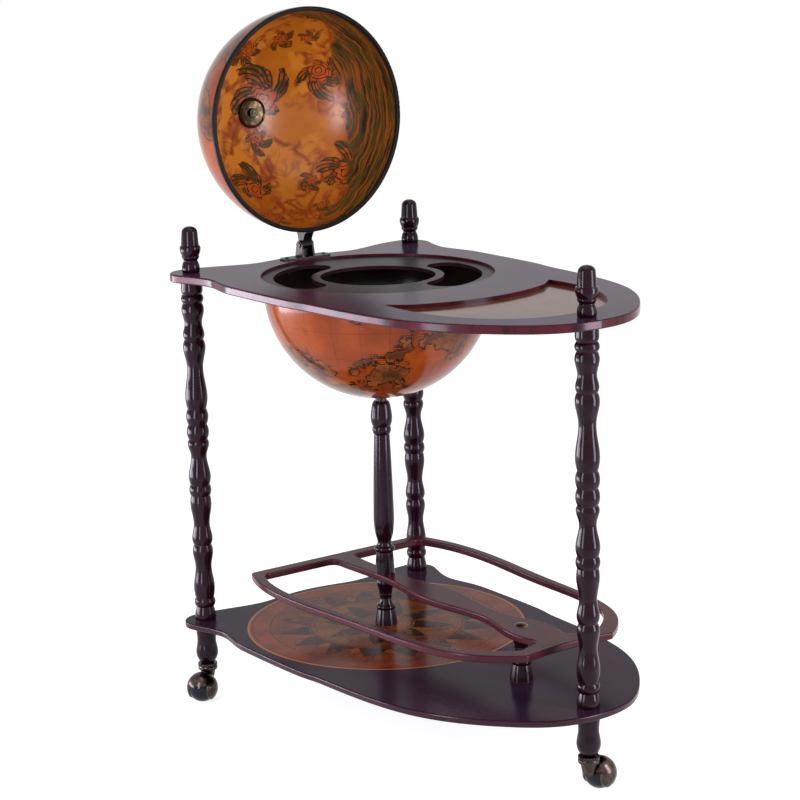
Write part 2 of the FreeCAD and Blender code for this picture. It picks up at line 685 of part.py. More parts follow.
def gallery_compartment(z, height):
    """Opening on one side of the middle bar; its inner edge follows the bar's wave."""
    back = GALLERY_BACK - GALLERY_BACK_RAIL
    nose = GALLERY_NOSE - GALLERY_NOSE_RAIL
    inner_back = at(-back, BAR_NECK, z)
    outer_back = at(-back, GALLERY_BACK_OUT - GALLERY_RAIL * 0.7, z)
    inner_nose = at(nose - GALLERY_HOLLOW * 2, BAR_BELLY - 4, z)
    outer_nose = at(nose, GALLERY_NOSE_OUT - GALLERY_RAIL * 0.7, z)
    spindle = END_SPINDLE_AHEAD
    bar = spline([
        inner_back,
        at(spindle * 0.16, BAR_NECK, z),
        at(spindle * 0.4, BAR_BELLY, z),
        at(spindle * 0.82, BAR_WAIST, z),
        at(spindle * 1.03, BAR_BOSS, z),
        inner_nose,
    ], FreeCAD.Vector(1, 0, 0), FreeCAD.Vector(1, -0.4, 0))
    side = gallery_side(outer_back, GALLERY_RAIL, outer_nose)
    hole = slab([bar, line(inner_nose, outer_nose), side, line(outer_back, inner_back)], height)
    return hole.makeFillet(GALLERY_CORNER_R, upright_edges(hole))


def gallery_board():
    """Board with a thin rim round two compartments and a bar between them."""
    z = GALLERY_UNDER_Z
    back_corner = at(-GALLERY_BACK, GALLERY_BACK_OUT, z)
    nose_corner = at(GALLERY_NOSE, GALLERY_NOSE_OUT, z)
    back_twin = at(-GALLERY_BACK, -GALLERY_BACK_OUT, z)
    nose_twin = at(GALLERY_NOSE, -GALLERY_NOSE_OUT, z)
    back = line(back_corner, back_twin)
    nose = arc(nose_corner, at(GALLERY_NOSE - GALLERY_HOLLOW, 0, z), nose_twin)
    side = gallery_side(back_corner, 0, nose_corner)
    blank = slab([back, nose] + mirrored([side]), GALLERY_THICK)
    blank = blank.makeFillet(GALLERY_CORNER_R * 0.75, upright_edges(blank))
    hole = gallery_compartment(z - 1, GALLERY_THICK + 2)
    twin = hole.mirror(FreeCAD.Vector(0, 0, 0), ACROSS)
    openwork = blank.cut([hole, twin])
    rims = edges_at_height(openwork, z) + edges_at_height(openwork, z + GALLERY_THICK)
    eased = openwork.makeFillet(GALLERY_EASE, rims)
    bolts = []
    for ahead in (0, END_SPINDLE_AHEAD):
        bolts.append(rod(STUD_R + FIT_GAP, at(ahead, 0, z - 1), GALLERY_THICK + 2))
    return eased.cut(bolts)


def gallery_spindle(ahead):
    """Short turned spindle between shelf and gallery, bored for its bolt."""
    height = GALLERY_UNDER_Z - SHELF_TOP_Z
    bell = [(0, CREST_D), (7, LIP_D), (16, NECK_D), (23, DEEP_GROOVE_D)]
    bead = [(23, DEEP_GROOVE_D), (27, NECK_D), (31, NARROW_D)]
    cove = [(31, NARROW_D), (34, THIN_D), (40, COVE_D), (46, SLIM_D)]
    vase = [(46, SLIM_D), (53, THIN_D), (61, WAIST_D), (68, NARROW_D)]
    rows = [bell, bead, cove, vase]
    body = turned(rows, GLOBE_X + ahead, 0, SHELF_TOP_Z, height)
    return body.cut(rod(STUD_R + FIT_GAP, at(ahead, 0, SHELF_TOP_Z - 1), height + 2))


def support_post():
    """Turned post from the gallery's bar up to the globe."""
    height = POST_TOP_Z - GALLERY_TOP_Z
    base = [(0, NECK_D), (16, GROOVE_D), (33, WAIST_D)]
    bead = [(33, WAIST_D), (38, SWELL_D), (43, NARROW_D)]
    swell = [(43, NARROW_D), (49, THIN_D), (57, WAIST_D), (68, NECK_D), (88, SWELL_D)]
    taper = [(88, SWELL_D), (151, GROOVE_D), (211, NARROW_D)]
    ring = [(211, NARROW_D), (218, GROOVE_D), (223, DEEP_GROOVE_D)]
    cap = [(223, DEEP_GROOVE_D), (230, SWELL_D), (238, LIP_D), (250, NECK_D), (258, WAIST_D), (261, THIN_D)]
    rows = [base, bead, swell, taper, ring, cap]
    post = turned(rows, GLOBE_X, 0, GALLERY_TOP_Z, height)
    bores = [rod(STUD_R + FIT_GAP, at(0, 0, GALLERY_TOP_Z - 1), STUD_GRIP + 2)]
    bores.append(rod(STUD_R + FIT_GAP, at(0, 0, POST_TOP_Z - STUD_GRIP - 1), STUD_GRIP + 2))
    return post.cut(bores)


def centre_bolt():
    """Bolt from under the shelf through spindle and gallery bar into the post."""
    length = GALLERY_TOP_Z - SHELF_UNDER_Z + STUD_GRIP
    shank = rod(STUD_R, at(0, 0, SHELF_UNDER_Z), length)
    head = rod(BOLT_HEAD_R, at(0, 0, SHELF_UNDER_Z - BOLT_HEAD_H), BOLT_HEAD_H)
    return shank.fuse(head).removeSplitter()


def gallery_bolt():
    """Bolt with a domed head on the gallery, through the end spindle into the shelf."""
    length = GALLERY_TOP_Z - SHELF_UNDER_Z
    shank = rod(STUD_R, at(END_SPINDLE_AHEAD, 0, SHELF_UNDER_Z), length)
    dome_r = (BOLT_HEAD_R ** 2 + BOLT_HEAD_H ** 2) / (2 * BOLT_HEAD_H)
    dome = Part.makeSphere(dome_r, at(END_SPINDLE_AHEAD, 0, GALLERY_TOP_Z + BOLT_HEAD_H - dome_r))
    head = dome.common(rod(BOLT_HEAD_R, at(END_SPINDLE_AHEAD, 0, GALLERY_TOP_Z), BOLT_HEAD_H + 1))
    return shank.fuse(head).removeSplitter()


def finial(x, y):
    """Turned finial above the table: base bead, cove, collar and bullet cap."""
    base = [(0, WAIST_D), (9, DEEP_GROOVE_D), (16.5, THIN_D)]
    ring = [(16.5, THIN_D), (20, NARROW_D), (22.5, DEEP_GROOVE_D), (24.3, WAIST_D)]
    bulb = [(24.3, WAIST_D), (29, NECK_D), (34.5, FINIAL_COLLAR_D), (39, NECK_D)]
    ledge = [(39, NECK_D), (39.7, DEEP_GROOVE_D)]
    cap = [(39.7, DEEP_GROOVE_D), (50, WAIST_D), (58.5, FINIAL_CAP_D)]
    dome = [(58.5, FINIAL_CAP_D), (62.7, THIN_D), (65.7, FINIAL_CAP_D * 0.6), (67, 0)]
    body = turned([base, ring, bulb, ledge, cap, dome], x, y, TABLE_TOP_Z, FINIAL_HEIGHT)
    return body.cut(rod(STUD_R + FIT_GAP, FreeCAD.Vector(x, y, TABLE_TOP_Z - 1), STUD_GRIP + 2))


def leg(x, y):
    """Turned leg between shelf and table: collars at the ends, then vases and beads."""
    height = TABLE_UNDER_Z - SHELF_TOP_Z
    rows = [
        [(0, SWELL_D), (8, LIP_D), (16, NECK_D), (21, DEEP_GROOVE_D)],
        [(21, DEEP_GROOVE_D), (28, LIP_D), (34.6, GROOVE_D)],
        [(34.6, GROOVE_D), (43, SWELL_D), (53, LIP_D), (86, WAIST_D), (109, SWELL_D), (117, DEEP_GROOVE_D)],
        [(117, DEEP_GROOVE_D), (124, SWELL_D), (145, WAIST_D), (178, LIP_D), (192.5, NECK_D)],
        [(192.5, NECK_D), (201, CREST_D), (209, NECK_D)],
        [(209, NECK_D), (222, CREST_D), (257, WAIST_D), (273, LIP_D), (278, GROOVE_D)],
        [(278, GROOVE_D), (289, CREST_D), (300.5, GROOVE_D)],
        [(300.5, GROOVE_D), (312, CREST_D), (324, GROOVE_D)],
        [(324, GROOVE_D), (341, CREST_D), (392, WAIST_D), (423, LIP_D), (428, GROOVE_D)],
        [(428, GROOVE_D), (436.5, LIP_D), (450, DEEP_GROOVE_D), (472, CREST_D), (482, GROOVE_D)],
        [(482, GROOVE_D), (488.5, CREST_D), (495, GROOVE_D)],
        [(495, GROOVE_D), (498, SWELL_D), (506, LIP_D), (515, CREST_D)],
    ]
    body = turned(rows, x, y, SHELF_TOP_Z, height)
    bores = [rod(STUD_R + FIT_GAP, FreeCAD.Vector(x, y, SHELF_TOP_Z - 1), STUD_GRIP + 2)]
    bores.append(rod(STUD_R + FIT_GAP, FreeCAD.Vector(x, y, TABLE_UNDER_Z - STUD_GRIP - 1), STUD_GRIP + 2))
    return body.cut(bores)


def foot(x, y):
    """Turned foot under the shelf, drawn in to a small flat on the caster plate."""
    height = SHELF_UNDER_Z - FOOT_BOTTOM_Z
    rows = [[(0, COVE_D), (5, DEEP_GROOVE_D), (16, CREST_D), (34, NECK_D), (50, SWELL_D), (59, LIP_D)]]
    body = turned(rows, x, y, FOOT_BOTTOM_Z, height)
    stud_reach = height - STEM_LENGTH - 4
    bores = [rod(STUD_R + FIT_GAP, FreeCAD.Vector(x, y, SHELF_UNDER_Z - stud_reach), stud_reach + 1)]
    bores.append(rod(STEM_R + FIT_GAP, FreeCAD.Vector(x, y, FOOT_BOTTOM_Z - 1), STEM_LENGTH + 2))
    return body.cut(bores)


def upper_studs():
    """Studs that hold finial and leg to the table."""
    base_z = TABLE_UNDER_Z - STUD_GRIP
    length = TABLE_THICK + 2 * STUD_GRIP
    return grouped([rod(STUD_R, FreeCAD.Vector(x, y, base_z), length) for x, y, _ in LEGS.values()])


def lower_studs():
    """Studs that hold leg and foot to the shelf."""
    reach = SHELF_UNDER_Z - FOOT_BOTTOM_Z - STEM_LENGTH - 5
    base_z = SHELF_UNDER_Z - reach
    length = STUD_GRIP + SHELF_THICK + reach
    return grouped([rod(STUD_R, FreeCAD.Vector(x, y, base_z), length) for x, y, _ in LEGS.values()])


def caster_plate(x, y):
    """Fixed plate under the foot, its rim cut into small teeth."""
    base_z = FOOT_BOTTOM_Z - CASTER_PLATE_H
    plate = rod(CASTER_RING_R, FreeCAD.Vector(x, y, base_z), CASTER_PLATE_H)
    gap_width = math.pi * CASTER_RING_R / PLATE_TEETH
    cuts = [rod(STEM_R + FIT_GAP, FreeCAD.Vector(x, y, base_z - 1), CASTER_PLATE_H + 2)]
    for tooth in range(PLATE_TEETH):
        notch = Part.makeBox(TOOTH_DEPTH * 2, gap_width, CASTER_PLATE_H * 2)
        notch_z = base_z + CASTER_PLATE_H * 0.4
        notch.translate(FreeCAD.Vector(CASTER_RING_R - TOOTH_DEPTH, -gap_width / 2, notch_z))
        notch.rotate(FreeCAD.Vector(0, 0, 0), UP, 360.0 / PLATE_TEETH * tooth)
        notch.translate(FreeCAD.Vector(x, y, 0))
        cuts.append(notch)
    return plate.cut(cuts)


def caster_place(shape, x, y, trail_deg):
    """Set a caster piece, made with its trail along X, under its leg."""
    shape.rotate(FreeCAD.Vector(0, 0, 0), UP, trail_deg)
    shape.translate(FreeCAD.Vector(x, y, 0))
    return shape


RING_TOP_Z = FOOT_BOTTOM_Z - CASTER_PLATE_H - CASTER_SWIVEL_GAP
BALL_AT = FreeCAD.Vector(CASTER_TRAIL, 0, BALL_R)
HOOD_R = BALL_R + HOOD_GAP + HOOD_SHEET


def caster_hood():
    """Bronze hood: a ring under the plate, a neck that widens to it, and a dome with an ear at
    each end of the axle."""
    ring = rod(CASTER_RING_R, FreeCAD.Vector(0, 0, RING_TOP_Z - CASTER_RING_H), CASTER_RING_H)
    ring = ring.makeFillet(CASTER_RING_H * 0.3, ring.Edges)
    neck_z = BALL_R + HOOD_EDGE_RISE / 2
    neck_height = RING_TOP_Z - neck_z - CASTER_RING_H / 2
    neck = Part.makeCone(CASTER_NECK_R, CASTER_NECK_TOP_R, neck_height, FreeCAD.Vector(0, 0, neck_z))
    dome = Part.makeSphere(HOOD_R, BALL_AT)
    over_edge = Part.makeBox(4 * HOOD_R, 4 * HOOD_R, 2 * HOOD_R)
    over_edge.translate(FreeCAD.Vector(CASTER_TRAIL - 2 * HOOD_R, -2 * HOOD_R, BALL_R + HOOD_EDGE_RISE))
    ears = rod(HOOD_EAR_R, BALL_AT - ACROSS * 2 * HOOD_R, 4 * HOOD_R, ACROSS)
    dome = dome.common(over_edge.fuse(ears))
    solid = ring.fuse([neck, dome])
    hollow = Part.makeSphere(BALL_R + HOOD_GAP, BALL_AT)
    stem_hole = rod(STEM_R + FIT_GAP, FreeCAD.Vector(0, 0, BALL_R), RING_TOP_Z)
    axle_hole = rod(AXLE_R + FIT_GAP, BALL_AT - ACROSS * 2 * HOOD_R, 4 * HOOD_R, ACROSS)
    return solid.cut([hollow, stem_hole, axle_hole])


def caster_stem():
    """Stem that turns in the foot, riveted into the hood's ring."""
    base_z = RING_TOP_Z - CASTER_RING_H
    return rod(STEM_R, FreeCAD.Vector(0, 0, base_z), FOOT_BOTTOM_Z - base_z + STEM_LENGTH)


def caster_axle():
    half = math.sqrt(HOOD_R ** 2 - AXLE_R ** 2) - FIT_GAP
    return rod(AXLE_R, BALL_AT - ACROSS * half, 2 * half, ACROSS)


def caster_ball():
    """Ball wheel with flats at the hubs, running on the axle."""
    half = BALL_R - HUB_FLAT
    ball = Part.makeSphere(BALL_R, BALL_AT).common(rod(BALL_R, BALL_AT - ACROSS * half, 2 * half, ACROSS))
    return ball.cut(rod(AXLE_R + FIT_GAP, BALL_AT - ACROSS * BALL_R * 2, 4 * BALL_R, ACROSS))


os.makedirs("parts", exist_ok=True)
save("table_top", table_top())
save("map_panel", tray_blank(PANEL_GAP, TABLE_TOP_Z - TRAY_DEPTH - MAP_THICK, MAP_THICK))
save("bottle_insert", bottle_insert())
save("globe_bowl", globe_bowl())
save("bowl_floor", bowl_floor())
save("bowl_bolt", bowl_bolt())
save("post_collar", post_collar())
save("globe_lid", globe_lid())
save("lid_rim_band", lid_rim_band())
save("lid_pole_cup", lid_pole_cup())
save("lid_knob", lid_knob())
save("lid_knob_nut", lid_knob_nut())
save("hinge_arm", hinge_arm())
save("arm_screws", arm_screws())
save("hinge_bracket", hinge_bracket())
save("bracket_screws", bracket_screws())
save("hinge_pin", hinge_pin())
save("lower_shelf", lower_shelf())
save("compass_disc", compass_disc())
save("gallery_board", gallery_board())
save("gallery_spindle_middle", gallery_spindle(0))
save("gallery_spindle_end", gallery_spindle(END_SPINDLE_AHEAD))
save("support_post", support_post())
save("centre_bolt", centre_bolt())
save("gallery_bolt", gallery_bolt())
save("upper_studs", upper_studs())
save("lower_studs", lower_studs())
for name, (x, y, trail_deg) in LEGS.items():
    save("finial_" + name, finial(x, y))
    save("leg_" + name, leg(x, y))
    save("foot_" + name, foot(x, y))
    save("caster_plate_" + name, caster_plate(x, y))
    save("caster_hood_" + name, caster_place(caster_hood(), x, y, trail_deg))
    save("caster_stem_" + name, caster_place(caster_stem(), x, y, trail_deg))
    save("caster_axle_" + name, caster_place(caster_axle(), x, y, trail_deg))
    save("caster_ball_" + name, caster_place(caster_ball(), x, y, trail_deg))
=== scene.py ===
import math
import bpy
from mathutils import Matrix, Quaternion, Vector


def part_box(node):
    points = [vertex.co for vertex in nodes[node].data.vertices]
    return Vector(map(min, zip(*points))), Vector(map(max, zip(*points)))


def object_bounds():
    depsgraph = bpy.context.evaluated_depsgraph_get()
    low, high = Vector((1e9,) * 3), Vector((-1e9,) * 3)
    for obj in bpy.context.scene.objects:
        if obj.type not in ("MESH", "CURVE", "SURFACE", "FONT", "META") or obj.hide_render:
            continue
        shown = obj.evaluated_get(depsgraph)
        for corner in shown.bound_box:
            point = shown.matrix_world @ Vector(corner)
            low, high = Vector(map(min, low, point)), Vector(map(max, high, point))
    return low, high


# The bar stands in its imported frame: every piece is in place, in metres, and X runs from
# the hinge end to the end leg.
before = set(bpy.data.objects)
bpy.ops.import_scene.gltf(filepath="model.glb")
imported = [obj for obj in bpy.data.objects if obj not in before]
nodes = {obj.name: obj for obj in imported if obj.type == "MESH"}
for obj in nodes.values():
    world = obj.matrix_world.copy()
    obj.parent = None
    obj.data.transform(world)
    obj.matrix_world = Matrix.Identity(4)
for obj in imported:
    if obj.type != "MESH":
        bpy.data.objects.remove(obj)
cad_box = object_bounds()


# Table top and lower shelf: fibreboard cut to an egg-shaped outline with lugs for the legs,
# stained dark mahogany and sprayed with gloss lacquer. The stain leaves faint grain along
# the boards, the lacquer lies in slight waves, and the rubbed edges are redder.
class Finish:
    """A surface finish: one shader fed by texture nodes that read the frame's own metres."""

    def __init__(self, name, **shader):
        self.material = bpy.data.materials.new(name)
        self.material.use_nodes = True
        self.tree = self.material.node_tree
        self.shader = self.tree.nodes["Principled BSDF"]
        for socket, value in shader.items():
            self.feed(self.shader.inputs[socket.replace("_", " ")], value)

    def feed(self, socket, value):
        """Links an output to a socket, or sets the socket to a plain value."""
        if isinstance(value, bpy.types.NodeSocket):
            self.tree.links.new(value, socket)
        else:
            socket.default_value = value

    def add(self, kind, output, inputs, **settings):
        """Adds a node, feeds its inputs and returns one of its outputs."""
        made = self.tree.nodes.new("ShaderNode" + kind)
        for setting, value in settings.items():
            setattr(made, setting, value)
        for socket, value in inputs.items():
            self.feed(made.inputs[socket], value)
        return made.outputs[output]

    def place(self):
        """Position in the frame."""
        return self.add("TexCoord", "Object", {})

    def about(self, centre, turn=(0, 0, 0), size=(1, 1, 1)):
        """Position as seen from a centre, turned back and measured in a size."""
        inputs = {"Vector": self.place(), "Location": centre, "Rotation": turn, "Scale": size}
        return self.add("Mapping", "Vector", inputs, vector_type="TEXTURE")

    def stretched(self, vector, scale):
        """A position scaled apart along X, Y and Z."""
        return self.add("VectorMath", "Vector", {0: vector, 1: scale}, operation="MULTIPLY")

    def split(self, vector):
        """The X, Y and Z of a vector, by their letters."""
        parts = self.tree.nodes.new("ShaderNodeSeparateXYZ")
        self.feed(parts.inputs[0], vector)
        return parts.outputs

    def noise(self, vector, scale, detail=3.0, roughness=0.5, distortion=0.0):
        """Soft blotches, from nought to one."""
        return self.add("TexNoise", "Fac", {
            "Vector": vector, "Scale": scale, "Detail": detail,
            "Roughness": roughness, "Distortion": distortion,
        })

    def math(self, operation, first, second=0.0, third=0.0):
        """One arithmetic step."""
        return self.add("Math", 0, {0: first, 1: second, 2: third}, operation=operation)

    def between(self, value, low, high):
        """Rises smoothly from nought at low to one at high, or falls if high is the lower."""
        inputs = {"Value": value, "From Min": low, "From Max": high}
        return self.add("MapRange", 0, inputs, interpolation_type="SMOOTHSTEP")

    def spread(self, value, low, high):
        """A value from nought to one laid evenly over another range."""
        inputs = {"Value": value, "To Min": low, "To Max": high}
        return self.add("MapRange", 0, inputs)

    def mix(self, share, first, second):
        """Goes from the first colour to the second by a share."""
        return self.add("Mix", 2, {0: share, 6: first, 7: second}, data_type="RGBA")

    def rubbed_edges(self, reach):
        """One on sharp outer edges within reach, where handling wears the finish."""
        rounded = self.add("Bevel", "Normal", {"Radius": reach}, samples=6)
        facing = self.add("NewGeometry", "Normal", {})
        agree = self.add("VectorMath", "Value", {0: rounded, 1: facing}, operation="DOT_PRODUCT")
        return self.between(agree, 0.99, 0.80)

    def relief(self, height, depth):
        """Raises the surface by up to a depth in metres."""
        normal = self.add("Bump", "Normal", {"Height": height, "Distance": depth})
        self.feed(self.shader.inputs["Normal"], normal)

    def colour(self, value):
        self.feed(self.shader.inputs["Base Color"], value)

    def roughness(self, value):
        self.feed(self.shader.inputs["Roughness"], value)

    def lustre(self, value):
        self.feed(self.shader.inputs["Specular IOR Level"], value)

    def dress(self, *names):
        """Gives CAD nodes this finish."""
        for name in names:
            nodes[name].data.materials.clear()
            nodes[name].data.materials.append(self.material)


LACQUER_IOR = 1.45
LACQUER_TINT = (0.93, 0.90, 1.0, 1)
BLOOM_TINT = (0.55, 0.40, 1.0, 1)
BLOOM_ROUGHNESS = 0.4
PORE_DARK = (0.004, 0.002, 0.002, 1)
RUBBED_STAIN = (0.150, 0.016, 0.026, 1)
WOOD_WEAR_REACH = 0.0025
LACQUER_WAVES = 0.00002
ALONG_BOARD = (0.12, 1.0, 1.0)
DOWN_THE_EDGE = (1, 1, 0.1)


def mahogany(name, grain, deep, warm, edge, roughness, lustre, edge_lustre, bloom=0.0):
    """Dark stained wood under lacquer, with grain lines drawn out along one way. Upright cut
    edges take up the stain in streaks of another colour and have a lustre of their own. Bloom
    is the faint veil that polishing leaves on a flat board."""
    finish = Finish(name, IOR=LACQUER_IOR, Specular_Tint=LACQUER_TINT, Sheen_Weight=bloom,
                    Sheen_Roughness=BLOOM_ROUGHNESS, Sheen_Tint=BLOOM_TINT)
    along = finish.stretched(finish.place(), grain)
    figure = finish.noise(along, 9.0, detail=6.0, roughness=0.6, distortion=0.6)
    pores = finish.noise(along, 240.0, detail=2.0)
    clouds = finish.noise(finish.place(), 7.0)
    wood = finish.mix(finish.between(figure, 0.32, 0.68), deep, warm)
    wood = finish.mix(finish.spread(clouds, 0.0, 0.5), wood, deep)
    wood = finish.mix(finish.between(pores, 0.56, 0.80), wood, PORE_DARK)
    facing_up = finish.split(finish.add("TexCoord", "Normal", {}))["Z"]
    upright = finish.between(finish.math("ABSOLUTE", facing_up), 0.9, 0.4)
    finish.lustre(finish.spread(upright, lustre, edge_lustre))
    streaks = finish.noise(finish.stretched(finish.place(), DOWN_THE_EDGE), 55.0, detail=4.0)
    wood = finish.mix(finish.math("MULTIPLY", upright, finish.between(streaks, 0.25, 0.65)), wood, edge)
    worn = finish.math("MULTIPLY", finish.rubbed_edges(WOOD_WEAR_REACH), finish.between(clouds, 0.3, 0.6))
    finish.colour(finish.mix(finish.math("MULTIPLY", worn, 0.7), wood, RUBBED_STAIN))
    finish.roughness(finish.spread(clouds, roughness, roughness + 0.08))
    waves = finish.noise(finish.place(), 260.0, detail=1.0)
    finish.relief(finish.math("SUBTRACT", waves, finish.math("MULTIPLY", pores, 0.3)), LACQUER_WAVES)
    return finish


table_lacquer = mahogany(
    "table_lacquer", ALONG_BOARD,
    deep=(0.013, 0.0034, 0.0060, 1),
    warm=(0.034, 0.0056, 0.0108, 1),
    edge=(0.070, 0.0080, 0.0120, 1),
    roughness=0.15, lustre=0.030, edge_lustre=0.23, bloom=0.04,
)
table_lacquer.dress("table_top")
shelf_lacquer = mahogany(
    "shelf_lacquer", ALONG_BOARD,
    deep=(0.010, 0.0032, 0.0054, 1),
    warm=(0.026, 0.0050, 0.0092, 1),
    edge=(0.028, 0.0046, 0.0090, 1),
    roughness=0.15, lustre=0.035, edge_lustre=0.26, bloom=0.04,
)
shelf_lacquer.dress("lower_shelf")


# Gallery: a thin board with two long openings and a wavy bar between them, held above the
# shelf. Its edges are rounded over, and its lacquer is a little redder and duller than the
# table's.
gallery_lacquer = mahogany(
    "gallery_lacquer", ALONG_BOARD,
    deep=(0.030, 0.0070, 0.0105, 1),
    warm=(0.085, 0.0140, 0.0210, 1),
    edge=(0.050, 0.0075, 0.0130, 1),
    roughness=0.20, lustre=0.06, edge_lustre=0.19,
)
gallery_lacquer.dress("gallery_board")


# Turned pieces: three legs with their finials and feet, the post under the globe and the
# gallery's two spindles. They are turned from hardwood with the grain upright, stained
# almost black and lacquered to a high gloss.
LEGS = ("front", "rear", "end")
UP_THE_LEG = (1.0, 1.0, 0.10)
TURNED_WARM = (0.012, 0.0024, 0.0052, 1)
turned_lacquer = mahogany(
    "turned_lacquer", UP_THE_LEG,
    deep=(0.0040, 0.0014, 0.0026, 1), warm=TURNED_WARM, edge=TURNED_WARM,
    roughness=0.10, lustre=0.20, edge_lustre=0.20,
)
for leg in LEGS:
    turned_lacquer.dress("finial_" + leg, "leg_" + leg, "foot_" + leg)
turned_lacquer.dress("support_post", "gallery_spindle_middle", "gallery_spindle_end")


# Globe: two half shells of pressed board with a printed paper skin in orange and brown, cut
# as gores and varnished. The print is a made-up old sea chart: unnamed coasts, a net of
# meridians and parallels, and wind roses with their rays.
INK = (0.020, 0.009, 0.005, 1)
SEA = ((0.280, 0.053, 0.0078, 1), (0.200, 0.033, 0.0052, 1))
COUNTRY = ((0.200, 0.056, 0.0130, 1), (0.082, 0.027, 0.0095, 1))
LINING = ((0.010, 0.0070, 0.0068, 1), (0.022, 0.0120, 0.0105, 1))
GORE_PITCH = math.radians(30)
NET_PITCH = math.radians(15)
SCALE_BAR_PITCH = math.radians(2.5)
SCALE_BAR_LATITUDE = 0.030
HATCH_PITCH = 0.022
CONTOUR_STEP = 0.034
SHORE = 0.505
FINE_LINE = 0.0022
COAST_LINE = 0.006
ROSE_TURNS = ((0.9, 1.0, 0.3), (2.3, -0.8, 1.9), (1.2, 2.6, 4.0))
ROSE_RAYS = 16
ROSE_POINTS = 8
STAR_REACH = 0.13
ROSE_RING = 0.085
GLOBE_WALL = 0.004
OUTER_ROUGHNESS = 0.14
OUTER_LUSTRE = 0.20
VARNISH_RELIEF = 0.00006
STEPS_LIFTED = 40
bowl_low, bowl_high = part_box("globe_bowl")
globe_radius = (bowl_high.y - bowl_low.y) / 2


def stroke(finish, distance, half_width):
    """One on a drawn line and nought beside it, with the soft edge that ink has on paper."""
    return finish.between(distance, half_width * 1.5, half_width * 0.5)


def nearest(finish, value, pitch):
    """Distance from the nearest whole step of a pitch, for values that may be below nought."""
    lifted = finish.math("ADD", value, STEPS_LIFTED * pitch)
    return finish.math("PINGPONG", lifted, pitch / 2)


def ways_round(finish, vector):
    """Longitude and latitude of a point seen from the middle of a globe."""
    parts = finish.split(vector)
    reach = finish.add("VectorMath", "Value", {0: vector}, operation="LENGTH")
    longitude = finish.math("ARCTAN2", parts["Y"], parts["X"])
    latitude = finish.math("ARCSINE", finish.math("DIVIDE", parts["Z"], reach))
    return longitude, latitude


def wind_rose(finish, vector, turn):
    """Rays that run out from one point of the globe, and a ringed star round that point."""
    turned = finish.add("Mapping", "Vector", {"Vector": vector, "Rotation": turn})
    longitude, latitude = ways_round(finish, turned)
    out = finish.math("SUBTRACT", math.pi / 2, latitude)
    off_ray = nearest(finish, longitude, math.tau / ROSE_RAYS)
    off_ray = finish.math("MULTIPLY", off_ray, finish.math("SINE", out))
    rays = finish.math("MULTIPLY", stroke(finish, off_ray, FINE_LINE), finish.between(out, 0.9, 0.5))
    off_point = nearest(finish, longitude, math.tau / ROSE_POINTS)
    off_point = finish.math("DIVIDE", off_point, math.pi / ROSE_POINTS)
    tip = finish.math("MULTIPLY", finish.math("SUBTRACT", 1.0, off_point), STAR_REACH)
    star = finish.between(finish.math("SUBTRACT", tip, out), 0.0, 0.006)
    ring = stroke(finish, finish.math("ABSOLUTE", finish.math("SUBTRACT", out, ROSE_RING)), 0.004)
    return rays, finish.math("MAXIMUM", star, ring)


def sea_chart(finish, vector):
    """Colour of the printed chart on the outside of the globe."""
    longitude, latitude = ways_round(finish, vector)
    land, hollow = COUNTRY
    lay = finish.noise(vector, 1.7, detail=6.0, roughness=0.54)
    off_shore = finish.math("SUBTRACT", lay, SHORE)
    clouds = finish.noise(vector, 2.6, detail=4.0)
    sheet = finish.mix(finish.between(clouds, 0.35, 0.65), *SEA)
    hills = finish.noise(vector, 8.0, detail=5.0)
    country = finish.mix(finish.between(hills, 0.42, 0.6), land, hollow)
    sheet = finish.mix(finish.between(off_shore, -0.002, 0.002), sheet, country)
    slopes = stroke(finish, nearest(finish, hills, CONTOUR_STEP), 0.007)
    slopes = finish.math("MULTIPLY", slopes, finish.between(off_shore, 0.02, 0.06))
    near_shore = finish.math("MULTIPLY", finish.between(off_shore, -0.045, -0.004),
                             finish.between(off_shore, 0.002, -0.002))
    hatch = stroke(finish, nearest(finish, latitude, HATCH_PITCH), 0.0045)
    ink = finish.math("MAXIMUM", finish.math("MULTIPLY", slopes, 0.75),
                      finish.math("MULTIPLY", finish.math("MULTIPLY", hatch, near_shore), 0.9))
    ink = finish.math("MAXIMUM", ink, stroke(finish, finish.math("ABSOLUTE", off_shore), COAST_LINE))
    across = finish.math("MULTIPLY", nearest(finish, longitude, NET_PITCH), finish.math("COSINE", latitude))
    net = finish.math("MAXIMUM", stroke(finish, across, FINE_LINE),
                      stroke(finish, nearest(finish, latitude, NET_PITCH), FINE_LINE))
    ink = finish.math("MAXIMUM", ink, finish.math("MULTIPLY", net, 0.45))
    at_sea = finish.between(off_shore, 0.0, -0.01)
    for turn in ROSE_TURNS:
        rays, star = wind_rose(finish, vector, turn)
        rays = finish.math("MULTIPLY", finish.math("MULTIPLY", rays, at_sea), 0.35)
        ink = finish.math("MAXIMUM", ink, finish.math("MAXIMUM", rays, finish.math("MULTIPLY", star, 0.75)))
    above_bar = finish.math("SUBTRACT", finish.math("ABSOLUTE", latitude), SCALE_BAR_LATITUDE)
    bars = finish.between(nearest(finish, longitude, SCALE_BAR_PITCH), 0.010, 0.012)
    ink = finish.math("MAXIMUM", ink, finish.math("MULTIPLY", bars, stroke(finish, above_bar, 0.008)))
    sheet = finish.mix(ink, sheet, INK)
    age = finish.noise(vector, 5.0, detail=6.0, roughness=0.7)
    return finish.mix(finish.between(age, 0.55, 0.8), sheet, finish.mix(0.5, sheet, hollow))


def gore_seams(finish, vector):
    """Low ridges where the paper gores of the skin lap."""
    longitude, latitude = ways_round(finish, vector)
    across = finish.math("MULTIPLY", nearest(finish, longitude, GORE_PITCH), finish.math("COSINE", latitude))
    return stroke(finish, across, 0.004)


